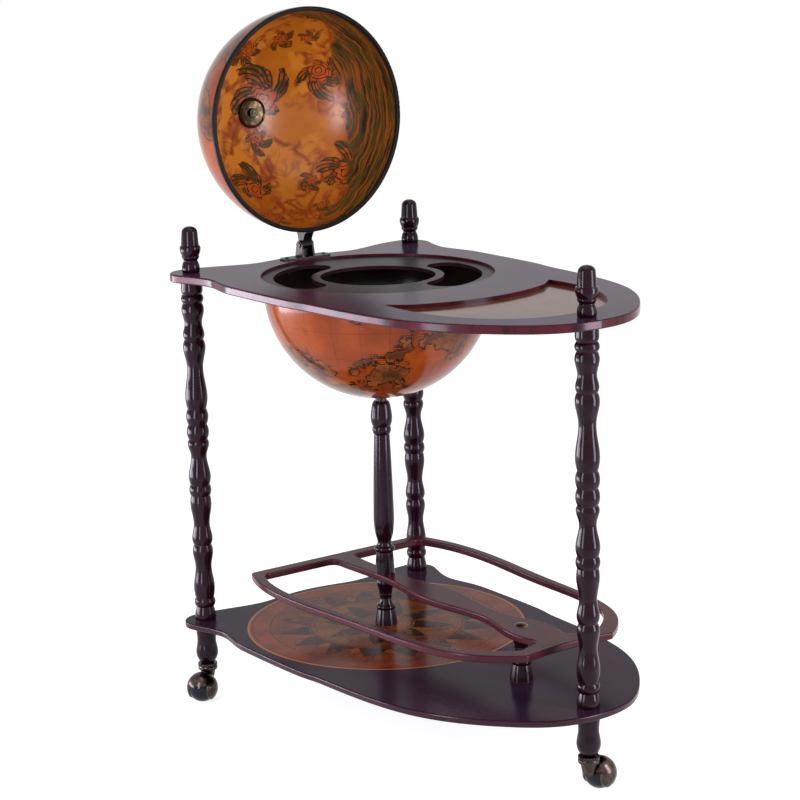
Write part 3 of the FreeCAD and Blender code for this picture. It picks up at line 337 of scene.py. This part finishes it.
def varnished_skin(name):
    """Paper under a coat of clear varnish that has flowed out almost flat."""
    return Finish(name, Roughness=OUTER_ROUGHNESS, IOR=LACQUER_IOR, Specular_IOR_Level=OUTER_LUSTRE)


def inner_side(finish, vector):
    """One on the inner face of the shell and nought on the outer."""
    reach = finish.add("VectorMath", "Value", {0: vector}, operation="LENGTH")
    wall = GLOBE_WALL / globe_radius
    return finish.between(reach, 1 - 0.4 * wall, 1 - 0.6 * wall)


bowl_skin = varnished_skin("bowl_skin")
bowl_centre = Vector((
    (bowl_low.x + bowl_high.x) / 2,
    (bowl_low.y + bowl_high.y) / 2,
    bowl_low.z + globe_radius,
))
on_bowl = bowl_skin.about(bowl_centre, size=(globe_radius,) * 3)
lining = bowl_skin.mix(bowl_skin.noise(on_bowl, 9.0, detail=5.0), *LINING)
bowl_inside = inner_side(bowl_skin, on_bowl)
bowl_skin.colour(bowl_skin.mix(bowl_inside, sea_chart(bowl_skin, on_bowl), lining))
bowl_seams = gore_seams(bowl_skin, on_bowl)
bowl_skin.relief(bowl_skin.math("ADD", bowl_seams, bowl_skin.noise(on_bowl, 40.0)), VARNISH_RELIEF)
bowl_skin.dress("globe_bowl")


# Lid: the globe's other half, standing open on its stop. Outside it carries the same chart.
# Inside, the paper is a golden sky with heaped clouds, engraved sprays of leaves and flowers
# scattered over it, and streaming dark waves along one side of the rim.
GOLD = (0.540, 0.165, 0.0085, 1)
AMBER = (0.380, 0.088, 0.0055, 1)
RIM_DARK = (0.200, 0.034, 0.0040, 1)
CLOUD_LIGHT = (0.640, 0.220, 0.0190, 1)
CLOUD_RUST = (0.270, 0.048, 0.0100, 1)
CLOUD_CREASE = (0.130, 0.022, 0.0060, 1)
PETALS = (0.430, 0.078, 0.0100, 1)
LEAVES = (0.090, 0.050, 0.0095, 1)
ENGRAVED = (0.018, 0.010, 0.0040, 1)
WATER_GREEN = (0.070, 0.044, 0.0095, 1)
WATER_LIT = (0.270, 0.064, 0.0085, 1)
WAVE_SIDE = math.radians(80)
INNER_ROUGHNESS = 0.27
INNER_LUSTRE = 0.42
lid_low, lid_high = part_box("globe_lid")


def laid_flat(finish, vector):
    """The lid's inside laid out round its pole in such a way that small shapes stay true."""
    parts = finish.split(vector)
    depth = finish.math("ADD", parts["Z"], 1.0)
    return finish.add("CombineXYZ", 0, {
        0: finish.math("DIVIDE", parts["X"], depth),
        1: finish.math("DIVIDE", parts["Y"], depth),
    })


def sprays(finish, flat, sheet, pitch, shift, bare):
    """Scatters engraved sprays on the sheet, one in each cell of a pitch: curled leaves round a
    flower, each turned its own way. A share of the cells stays bare."""
    moved = finish.add("VectorMath", "Vector", {0: flat, 1: shift}, operation="ADD")
    cells = {"Vector": moved, "Scale": 1 / pitch, "Randomness": 0.8}
    middle = finish.add("TexVoronoi", "Position", cells, voronoi_dimensions="2D")
    border = finish.add("TexVoronoi", "Distance", cells, feature="DISTANCE_TO_EDGE",
                        voronoi_dimensions="2D")
    lot = finish.split(middle.node.outputs["Color"])
    away = finish.add("VectorMath", "Vector", {0: moved, 1: middle}, operation="SUBTRACT")
    steps = finish.split(away)
    bearing = finish.math("ARCTAN2", steps["Y"], steps["X"])
    bearing = finish.math("ADD", bearing, finish.math("MULTIPLY", lot["X"], math.tau))
    reach = finish.add("VectorMath", "Value", {0: away}, operation="LENGTH")
    span = finish.math("DIVIDE", reach, finish.spread(lot["Y"], 0.36 * pitch, 0.60 * pitch))
    ragged = finish.spread(finish.noise(flat, 4.5 / pitch, detail=3.0), -0.30, 0.30)
    curled = finish.math("ADD", bearing, finish.math("MULTIPLY", span, 1.3))
    leaf_wave = finish.math("ABSOLUTE", finish.math("COSINE", finish.math("MULTIPLY", curled, 2.5)))
    longer = finish.add("MapRange", 0, {
        "Value": finish.math("COSINE", bearing), "From Min": -1.0, "To Min": 0.45, "To Max": 1.0,
    })
    leaf_reach = finish.math("MULTIPLY", longer, finish.spread(leaf_wave, 0.45, 1.0))
    leaf_room = finish.math("SUBTRACT", finish.math("ADD", leaf_reach, ragged), span)
    leaf_room = finish.math("MINIMUM", leaf_room, finish.math("MULTIPLY", border, 4.0))
    veins = stroke(finish, nearest(finish, curled, 0.21), 0.030)
    outline = stroke(finish, leaf_room, 0.045)
    leaf = finish.mix(finish.math("MAXIMUM", veins, outline), LEAVES, ENGRAVED)
    lit = finish.between(finish.noise(flat, 9.0 / pitch, detail=2.0), 0.50, 0.58)
    leaf = finish.mix(finish.math("MULTIPLY", lit, finish.math("SUBTRACT", 0.85, veins)), leaf, PETALS)
    petal_wave = finish.math("ABSOLUTE", finish.math("COSINE", finish.math("MULTIPLY", bearing, 3.0)))
    petal_reach = finish.math("MULTIPLY_ADD", ragged, 0.4, finish.spread(petal_wave, 0.24, 0.40))
    petal_room = finish.math("SUBTRACT", petal_reach, span)
    rings = stroke(finish, nearest(finish, finish.math("ADD", span, ragged), 0.13), 0.016)
    petal = finish.mix(finish.math("MAXIMUM", rings, stroke(finish, petal_room, 0.03)), PETALS, ENGRAVED)
    drawn = finish.between(lot["Z"], bare, bare + 0.01)
    leafy = finish.math("MULTIPLY", finish.between(leaf_room, 0.0, 0.04), drawn)
    flowery = finish.math("MULTIPLY", finish.between(petal_room, 0.0, 0.03), drawn)
    return finish.mix(flowery, finish.mix(leafy, sheet, leaf), petal)


def golden_sky(finish, vector):
    """Colour of the printed sky inside the lid: gold at the pole, darker toward the rim."""
    longitude, latitude = ways_round(finish, vector)
    flat = laid_flat(finish, vector)
    drift = finish.noise(vector, 1.6, detail=3.0)
    sky = finish.mix(finish.between(drift, 0.35, 0.65), GOLD, AMBER)
    cloudy = finish.between(finish.noise(flat, 1.9, detail=4.0), 0.43, 0.48)
    heap = finish.noise(flat, 5.5, detail=1.0, distortion=1.0)
    puff = finish.noise(flat, 12.0, detail=2.0, distortion=0.8)
    billow = finish.math("ABSOLUTE", finish.math("SUBTRACT", heap, 0.5))
    fold = finish.math("ABSOLUTE", finish.math("SUBTRACT", puff, 0.5))
    billow = finish.math("MULTIPLY_ADD", fold, 0.6, billow)
    cloud = finish.mix(finish.between(billow, 0.02, 0.17), CLOUD_RUST, CLOUD_LIGHT)
    sky = finish.mix(finish.math("MULTIPLY", cloudy, 0.9), sky, cloud)
    creases = finish.math("MULTIPLY", stroke(finish, billow, 0.022), cloudy)
    sky = finish.mix(finish.math("MULTIPLY", creases, 0.35), sky, CLOUD_CREASE)
    # Darker toward the rim.
    sky = finish.mix(finish.math("MULTIPLY", finish.between(latitude, 1.1, 0.2), 0.60), sky, RIM_DARK)
    sky = sprays(finish, flat, sky, pitch=0.24, shift=(3.1, 1.7, 0), bare=0.36)
    sky = sprays(finish, flat, sky, pitch=0.42, shift=(0.4, 2.3, 0), bare=0.12)
    wander = finish.spread(finish.noise(vector, 1.9, detail=4.0), -0.34, 0.34)
    facing = finish.math("COSINE", finish.math("SUBTRACT", longitude, WAVE_SIDE))
    shore = finish.math("ADD", finish.math("MULTIPLY", facing, 0.46), wander)
    flood = finish.between(finish.math("SUBTRACT", finish.math("ADD", shore, 0.12), latitude), -0.02, 0.04)
    bent_up = finish.math("ADD", latitude, finish.math("MULTIPLY", wander, 0.55))
    flow = finish.add("CombineXYZ", 0, {
        0: finish.math("MULTIPLY", longitude, 2.0),
        1: finish.math("MULTIPLY", bent_up, 30.0),
    })
    swell = finish.noise(flow, 1.0, detail=5.0, roughness=0.62)
    water = finish.mix(finish.between(swell, 0.38, 0.48), ENGRAVED, WATER_GREEN)
    water = finish.mix(finish.between(swell, 0.51, 0.58), water, WATER_LIT)
    return finish.mix(flood, sky, water)


lid_skin = varnished_skin("lid_skin")
lid_centre = Vector((
    lid_low.x + globe_radius,
    (lid_low.y + lid_high.y) / 2,
    (lid_low.z + lid_high.z) / 2,
))
on_lid = lid_skin.about(lid_centre, turn=(0, -math.pi / 2, 0), size=(globe_radius,) * 3)
lid_inside = inner_side(lid_skin, on_lid)
lid_skin.colour(lid_skin.mix(lid_inside, sea_chart(lid_skin, on_lid), golden_sky(lid_skin, on_lid)))
lid_skin.lustre(lid_skin.spread(lid_inside, OUTER_LUSTRE, INNER_LUSTRE))
lid_skin.roughness(lid_skin.spread(lid_inside, OUTER_ROUGHNESS, INNER_ROUGHNESS))
lid_seams = gore_seams(lid_skin, on_lid)
lid_skin.relief(lid_skin.math("ADD", lid_seams, lid_skin.noise(on_lid, 40.0)), VARNISH_RELIEF)
lid_skin.dress("globe_lid")


# Rim band: a black moulding pressed over the lid's edge. Its face is rubbed where it comes
# down on the insert.
BAND_BLACK = (0.0045, 0.0040, 0.0042, 1)
BAND_DULL = (0.012, 0.0095, 0.0090, 1)
BAND_RUBBED = (0.05, 0.03, 0.022, 1)
BAND_WEAR_REACH = 0.001
BAND_RELIEF = 0.00005
rim_black = Finish("rim_black", Specular_IOR_Level=0.06)
dull = rim_black.noise(rim_black.place(), 60.0, detail=4.0)
band = rim_black.mix(dull, BAND_BLACK, BAND_DULL)
rubbed = rim_black.math("MULTIPLY", rim_black.rubbed_edges(BAND_WEAR_REACH), 0.5)
rim_black.colour(rim_black.mix(rubbed, band, BAND_RUBBED))
rim_black.roughness(rim_black.spread(dull, 0.26, 0.42))
rim_black.relief(dull, BAND_RELIEF)
rim_black.dress("lid_rim_band")


# Brass at the lid's pole and on the gallery: a dished cup spun from sheet, a turned knob on
# the outside and a domed bolt head, all browned with age and bright on the edges.
GRIME_AND_SHADE = (0.010, 0.008, 0.008, 1)
GRIME_AND_SHADE_REACH = 0.016
BRASS_WEAR_REACH = 0.0012
PATINA_RELIEF = 0.00003


def browned_brass(name, bright, brown, bared, roughness):
    """Brass or bronze under an uneven brown patina, bared in part, bright on the edges, and dark
    in hollows with grime and painted shade."""
    finish = Finish(name, Metallic=1.0)
    patina = finish.noise(finish.place(), 70.0, detail=6.0, roughness=0.65)
    metal = finish.mix(finish.between(patina, bared - 0.12, bared + 0.12), bright, brown)
    metal = finish.mix(finish.rubbed_edges(BRASS_WEAR_REACH), metal, bright)
    # Hollows and the gaps between parts go near-black: partly grime, partly painted shade.
    openness = finish.add("AmbientOcclusion", "AO", {"Distance": GRIME_AND_SHADE_REACH}, samples=8)
    finish.colour(finish.mix(finish.between(openness, 0.80, 0.35), metal, GRIME_AND_SHADE))
    finish.roughness(finish.spread(patina, roughness - 0.08, roughness + 0.14))
    finish.relief(finish.noise(finish.place(), 420.0, detail=2.0), PATINA_RELIEF)
    return finish


pole_brass = browned_brass(
    "pole_brass",
    bright=(0.30, 0.20, 0.095, 1),
    brown=(0.050, 0.033, 0.019, 1),
    bared=0.42, roughness=0.30,
)
pole_brass.dress("lid_pole_cup", "lid_knob", "gallery_bolt")


# Black iron: the nut in the cup, the hinge with its pin and screws, the collar under the
# globe, and the bolts inside. Blackened steel, oily and a little worn on the edges.
IRON_BLACK = (0.016, 0.014, 0.014, 1)
IRON_GREY = (0.050, 0.046, 0.043, 1)
IRON_BARE = (0.22, 0.20, 0.19, 1)
IRON_WEAR_REACH = 0.0008
IRON_RELIEF = 0.00004
black_iron = Finish("black_iron", Metallic=1.0)
scale_marks = black_iron.noise(black_iron.place(), 110.0, detail=5.0)
iron = black_iron.mix(scale_marks, IRON_BLACK, IRON_GREY)
bared = black_iron.math("MULTIPLY", black_iron.rubbed_edges(IRON_WEAR_REACH), 0.7)
black_iron.colour(black_iron.mix(bared, iron, IRON_BARE))
black_iron.roughness(black_iron.spread(scale_marks, 0.30, 0.52))
black_iron.relief(scale_marks, IRON_RELIEF)
black_iron.dress("lid_knob_nut", "hinge_arm", "hinge_bracket", "hinge_pin", "arm_screws", "bracket_screws")
black_iron.dress("post_collar", "bowl_bolt", "centre_bolt", "upper_studs", "lower_studs")


# Insert and bowl floor: a round plate with a large hole and two crescents, let into the
# table over the bowl, and a plain disc below it. Both are painted a dull black brown.
ALONG_PLATE = (0.25, 1.0, 1.0)
insert_paint = mahogany(
    "insert_paint", ALONG_PLATE,
    deep=(0.0100, 0.0076, 0.0105, 1),
    warm=(0.017, 0.0105, 0.0140, 1),
    edge=(0.015, 0.0090, 0.0120, 1),
    roughness=0.34, lustre=0.08, edge_lustre=0.08,
)
insert_paint.dress("bottle_insert", "bowl_floor")


# Map panel: a printed sheet on thin board, let into the tray of the table and lacquered
# until it mirrors. The print is a made-up chart in rose and tan, with a ruled net over it.
PANEL_SEA = ((0.135, 0.036, 0.0130, 1), (0.085, 0.018, 0.0075, 1))
PANEL_LAND = ((0.060, 0.016, 0.0060, 1), (0.150, 0.046, 0.0140, 1))
PANEL_INK = (0.018, 0.006, 0.004, 1)
PANEL_SHORE = 0.52
PANEL_NET = 0.30
PANEL_NET_LINE = 0.005
PANEL_HATCH = 0.024
PAPER_RELIEF = 0.00003
map_sheet = Finish("map_sheet", Roughness=0.12, IOR=LACQUER_IOR, Specular_IOR_Level=0.10)
panel_low, panel_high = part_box("map_panel")
panel_half = (panel_high.x - panel_low.x) / 2
on_panel = map_sheet.about((panel_low + panel_high) / 2, size=(panel_half,) * 3)
panel_lay = map_sheet.noise(on_panel, 1.5, detail=9.0, roughness=0.62)
panel_shore = map_sheet.math("SUBTRACT", panel_lay, PANEL_SHORE)
panel_tone = map_sheet.noise(on_panel, 2.2, detail=4.0)
paper = map_sheet.mix(map_sheet.between(panel_tone, 0.35, 0.65), *PANEL_SEA)
ground = map_sheet.mix(panel_tone, *PANEL_LAND)
paper = map_sheet.mix(map_sheet.between(panel_shore, -0.003, 0.003), paper, ground)
panel_parts = map_sheet.split(on_panel)
off_length = nearest(map_sheet, panel_parts["X"], PANEL_NET)
off_width = nearest(map_sheet, panel_parts["Y"], PANEL_NET)
panel_net = map_sheet.math("MAXIMUM", stroke(map_sheet, off_length, PANEL_NET_LINE),
                           stroke(map_sheet, off_width, PANEL_NET_LINE))
panel_ink = map_sheet.math("MAXIMUM", map_sheet.math("MULTIPLY", panel_net, 0.4),
                           stroke(map_sheet, map_sheet.math("ABSOLUTE", panel_shore), COAST_LINE))
off_coast = map_sheet.math("MULTIPLY", map_sheet.between(panel_shore, -0.05, -0.004),
                           map_sheet.between(panel_shore, 0.003, -0.003))
panel_hatch = stroke(map_sheet, nearest(map_sheet, panel_parts["X"], PANEL_HATCH), PANEL_NET_LINE)
panel_hatch = map_sheet.math("MULTIPLY", map_sheet.math("MULTIPLY", panel_hatch, off_coast), 0.7)
panel_ink = map_sheet.math("MAXIMUM", panel_ink, panel_hatch)
map_sheet.colour(map_sheet.mix(panel_ink, paper, PANEL_INK))
map_sheet.relief(map_sheet.noise(map_sheet.place(), 120.0), PAPER_RELIEF)
map_sheet.dress("map_panel")


# Compass disc: a printed round let flush into the shelf. A plain border, with a painted
# highlight line at its very edge, encloses a ring of dark compass points, and rings and a rosette fill the
# middle.
DISC_FIELD = ((0.200, 0.035, 0.0068, 1), (0.110, 0.018, 0.0050, 1))
DISC_HEART = ((0.230, 0.066, 0.0100, 1), (0.110, 0.025, 0.0060, 1))
DISC_PALE = (0.260, 0.070, 0.0130, 1)
DISC_INK = (0.022, 0.008, 0.005, 1)
DISC_EDGE_HIGHLIGHT = (0.36, 0.120, 0.030, 1)
RING_LINES = ((0.965, 0.004), (0.835, 0.005), (0.55, 0.006), (0.515, 0.003), (0.36, 0.003), (0.185, 0.005))
SCROLL_STEP = 0.06
compass_sheet = Finish("compass_sheet", Roughness=0.16, IOR=LACQUER_IOR, Specular_IOR_Level=0.06)
disc_low, disc_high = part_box("compass_disc")
disc_radius = (disc_high.x - disc_low.x) / 2
on_disc = compass_sheet.about((disc_low + disc_high) / 2, size=(disc_radius,) * 3)
disc_parts = compass_sheet.split(on_disc)
bearing = compass_sheet.math("ARCTAN2", disc_parts["Y"], disc_parts["X"])
on_face = compass_sheet.stretched(on_disc, (1, 1, 0))
span = compass_sheet.add("VectorMath", "Value", {0: on_face}, operation="LENGTH")


def points(count, root, tip):
    """A ring of triangles whose feet touch at one radius and whose tips reach another."""
    share = compass_sheet.math("DIVIDE", nearest(compass_sheet, bearing, math.tau / count), math.pi / count)
    height = compass_sheet.math("DIVIDE", compass_sheet.math("SUBTRACT", span, root), tip - root)
    room = compass_sheet.math("SUBTRACT", compass_sheet.math("SUBTRACT", 1.0, share), height)
    inside = compass_sheet.between(room, 0.0, 0.04)
    return compass_sheet.math("MULTIPLY", inside, compass_sheet.between(height, 0.0, 0.03))


disc_tone = compass_sheet.noise(on_disc, 3.2, detail=6.0, roughness=0.6)
mottle = compass_sheet.between(disc_tone, 0.35, 0.65)
field = compass_sheet.mix(mottle, *DISC_FIELD)
heart = compass_sheet.mix(mottle, *DISC_HEART)
field = compass_sheet.mix(compass_sheet.between(span, 0.56, 0.50), field, heart)
outer_points = points(16, root=0.56, tip=0.80)
inner_points = points(8, root=0.20, tip=0.50)
dark_points = compass_sheet.math("MAXIMUM", outer_points, inner_points)
bare = compass_sheet.math("SUBTRACT", 1.0, dark_points)
pale_points = compass_sheet.math("MULTIPLY", points(32, root=0.58, tip=0.70), bare)
field = compass_sheet.mix(compass_sheet.math("MULTIPLY", pale_points, 0.6), field, DISC_PALE)
engraving = compass_sheet.noise(on_disc, 7.0, detail=3.0, distortion=1.2)
marks = compass_sheet.math("MULTIPLY", dark_points, compass_sheet.between(engraving, 0.72, 0.48))
scrolls = stroke(compass_sheet, nearest(compass_sheet, engraving, SCROLL_STEP), 0.010)
scrolls = compass_sheet.math("MULTIPLY", scrolls, compass_sheet.between(span, 0.84, 0.80))
marks = compass_sheet.math("MAXIMUM", marks, compass_sheet.math("MULTIPLY", scrolls, 0.7))
for ring, half_width in RING_LINES:
    off_ring = compass_sheet.math("ABSOLUTE", compass_sheet.math("SUBTRACT", span, ring))
    circle = stroke(compass_sheet, off_ring, half_width)
    marks = compass_sheet.math("MAXIMUM", marks, compass_sheet.math("MULTIPLY", circle, 0.8))
field = compass_sheet.mix(marks, field, DISC_INK)
# Painted highlight: a pale ring round the very edge of the disc, in place of the light caught by its rim.
edge_highlight = compass_sheet.between(span, 0.982, 0.990)
compass_sheet.colour(compass_sheet.mix(edge_highlight, field, DISC_EDGE_HIGHLIGHT))
compass_sheet.relief(compass_sheet.noise(compass_sheet.place(), 120.0), PAPER_RELIEF)
compass_sheet.dress("compass_disc")


# Casters: a toothed plate screwed under each foot, a pressed hood of browned bronze with its
# stem and axle, and a moulded black ball that rolls in it, scuffed by the floor.
STEEL = ((0.33, 0.32, 0.31, 1), (0.55, 0.54, 0.52, 1))
ROUND_THE_STEM = (1, 1, 9)
BALL_BLACK = (0.0036, 0.0044, 0.0110, 1)
BALL_SCUFFED = (0.010, 0.012, 0.021, 1)
SCUFF_RELIEF = 0.00003
caster_bronze = browned_brass(
    "caster_bronze",
    bright=(0.125, 0.088, 0.070, 1),
    brown=(0.042, 0.031, 0.029, 1),
    bared=0.42, roughness=0.22,
)
plate_bronze = browned_brass(
    "plate_bronze",
    bright=(0.120, 0.102, 0.090, 1),
    brown=(0.016, 0.014, 0.014, 1),
    bared=0.38, roughness=0.24,
)
bright_steel = Finish("bright_steel", Metallic=1.0)
turning = bright_steel.stretched(bright_steel.place(), ROUND_THE_STEM)
brushed = bright_steel.noise(turning, 160.0, detail=3.0)
bright_steel.colour(bright_steel.mix(brushed, *STEEL))
bright_steel.roughness(bright_steel.spread(brushed, 0.24, 0.40))
ball_black = Finish("ball_black", Specular_IOR_Level=0.20)
scuffs = ball_black.noise(ball_black.place(), 180.0, detail=6.0, roughness=0.7)
scuffed = ball_black.between(scuffs, 0.56, 0.74)
ball_black.colour(ball_black.mix(scuffed, BALL_BLACK, BALL_SCUFFED))
ball_black.roughness(ball_black.spread(scuffed, 0.08, 0.30))
ball_black.relief(scuffs, SCUFF_RELIEF)
for leg in LEGS:
    caster_bronze.dress("caster_hood_" + leg)
    plate_bronze.dress("caster_plate_" + leg, "caster_axle_" + leg)
    bright_steel.dress("caster_stem_" + leg)
    ball_black.dress("caster_ball_" + leg)


# Studio: a pale floor that keeps the bar's shadow, white all round, and soft lamps on both
# sides whose tall shapes show as bright strips on the turned wood.
WHITE = (1.0, 1.0, 1.0)
COOL = (0.90, 0.88, 1.0)
FLOOR_WIDTH = 12.0
FLOOR_GREY = (0.55, 0.55, 0.55, 1)
FLOOR_GLOW = 0.78
ROOM_LIGHT = 0.42
SEEN_WHITE = 1.0
bpy.ops.mesh.primitive_plane_add(size=FLOOR_WIDTH)
floor = bpy.context.object
floor.name = "studio_floor"
floor_paint = Finish("floor_paint", Base_Color=FLOOR_GREY, Roughness=0.9, Emission_Color=(*WHITE, 1))
floor_rays = floor_paint.tree.nodes.new("ShaderNodeLightPath").outputs
seen = floor_paint.math("MAXIMUM", floor_rays["Is Camera Ray"], floor_rays["Is Glossy Ray"])
seen = floor_paint.math("MAXIMUM", seen, floor_rays["Is Transmission Ray"])
glow = floor_paint.math("MULTIPLY", seen, FLOOR_GLOW)
floor_paint.feed(floor_paint.shader.inputs["Emission Strength"], glow)
floor.data.materials.append(floor_paint.material)

world = bpy.data.worlds.new("studio_white")
bpy.context.scene.world = world
world.use_nodes = True
room = world.node_tree
backdrop = room.nodes["Background"]
backdrop.inputs["Color"].default_value = (*WHITE, 1)
room_rays = room.nodes.new("ShaderNodeLightPath").outputs


def either(first, second):
    """The greater of two levels in the room's nodes."""
    greater = room.nodes.new("ShaderNodeMath")
    greater.operation = "MAXIMUM"
    room.links.new(first, greater.inputs[0])
    room.links.new(second, greater.inputs[1])
    return greater.outputs[0]


room_seen = either(room_rays["Is Camera Ray"], room_rays["Is Glossy Ray"])
room_seen = either(room_seen, room_rays["Is Transmission Ray"])
level = room.nodes.new("ShaderNodeMapRange")
level.inputs["To Min"].default_value = ROOM_LIGHT
level.inputs["To Max"].default_value = SEEN_WHITE
room.links.new(room_seen, level.inputs["Value"])
room.links.new(level.outputs[0], backdrop.inputs["Strength"])

VIEW_AZIMUTH = math.radians(54.147)
VIEW_ELEVATION = math.radians(12.851)
VIEW_ROLL = math.radians(-1.294)
VIEW_FROM = Vector((2.597147, -1.893880, 1.206240))
LENS = 104.04
SENSOR = 36.0
to_camera = Vector((
    math.sin(VIEW_AZIMUTH) * math.cos(VIEW_ELEVATION),
    -math.cos(VIEW_AZIMUTH) * math.cos(VIEW_ELEVATION),
    math.sin(VIEW_ELEVATION),
))
camera = bpy.data.objects.new("camera", bpy.data.cameras.new("camera"))
bpy.context.scene.collection.objects.link(camera)
camera.data.lens = LENS
camera.data.sensor_width = SENSOR
camera.location = VIEW_FROM
camera.rotation_mode = "QUATERNION"
camera.rotation_quaternion = (-to_camera).to_track_quat("-Z", "Y") @ Quaternion((0, 0, 1), VIEW_ROLL)
bpy.context.scene.camera = camera

middle = (cad_box[0] + cad_box[1]) / 2
level_back = Vector((to_camera.x, to_camera.y, 0)).normalized()
aside = Vector((-level_back.y, level_back.x, 0))


def lamp(name, right, toward, height, width, tall, power, tint):
    """A soft box aimed at the bar, placed by how far right of it and toward the camera it is."""
    light = bpy.data.lights.new(name, "AREA")
    light.shape = "RECTANGLE"
    light.size = width
    light.size_y = tall
    light.energy = power
    light.color = tint
    box = bpy.data.objects.new(name, light)
    bpy.context.scene.collection.objects.link(box)
    box.location = middle + aside * right + level_back * toward + Vector((0, 0, height))
    box.rotation_mode = "QUATERNION"
    box.rotation_quaternion = (middle - box.location).to_track_quat("-Z", "Y")


lamp("side_box", right=-1.9, toward=-0.2, height=-0.26, width=1.5, tall=0.46, power=36, tint=COOL)
lamp("left_box", right=-0.85, toward=1.05, height=0.15, width=0.30, tall=1.1, power=16, tint=COOL)
lamp("right_box", right=1.15, toward=0.72, height=0.15, width=0.36, tall=1.1, power=21, tint=COOL)
lamp("top_box", right=0.0, toward=0.2, height=2.0, width=1.4, tall=1.4, power=10, tint=WHITE)

bpy.context.scene.view_settings.view_transform = "Standard"
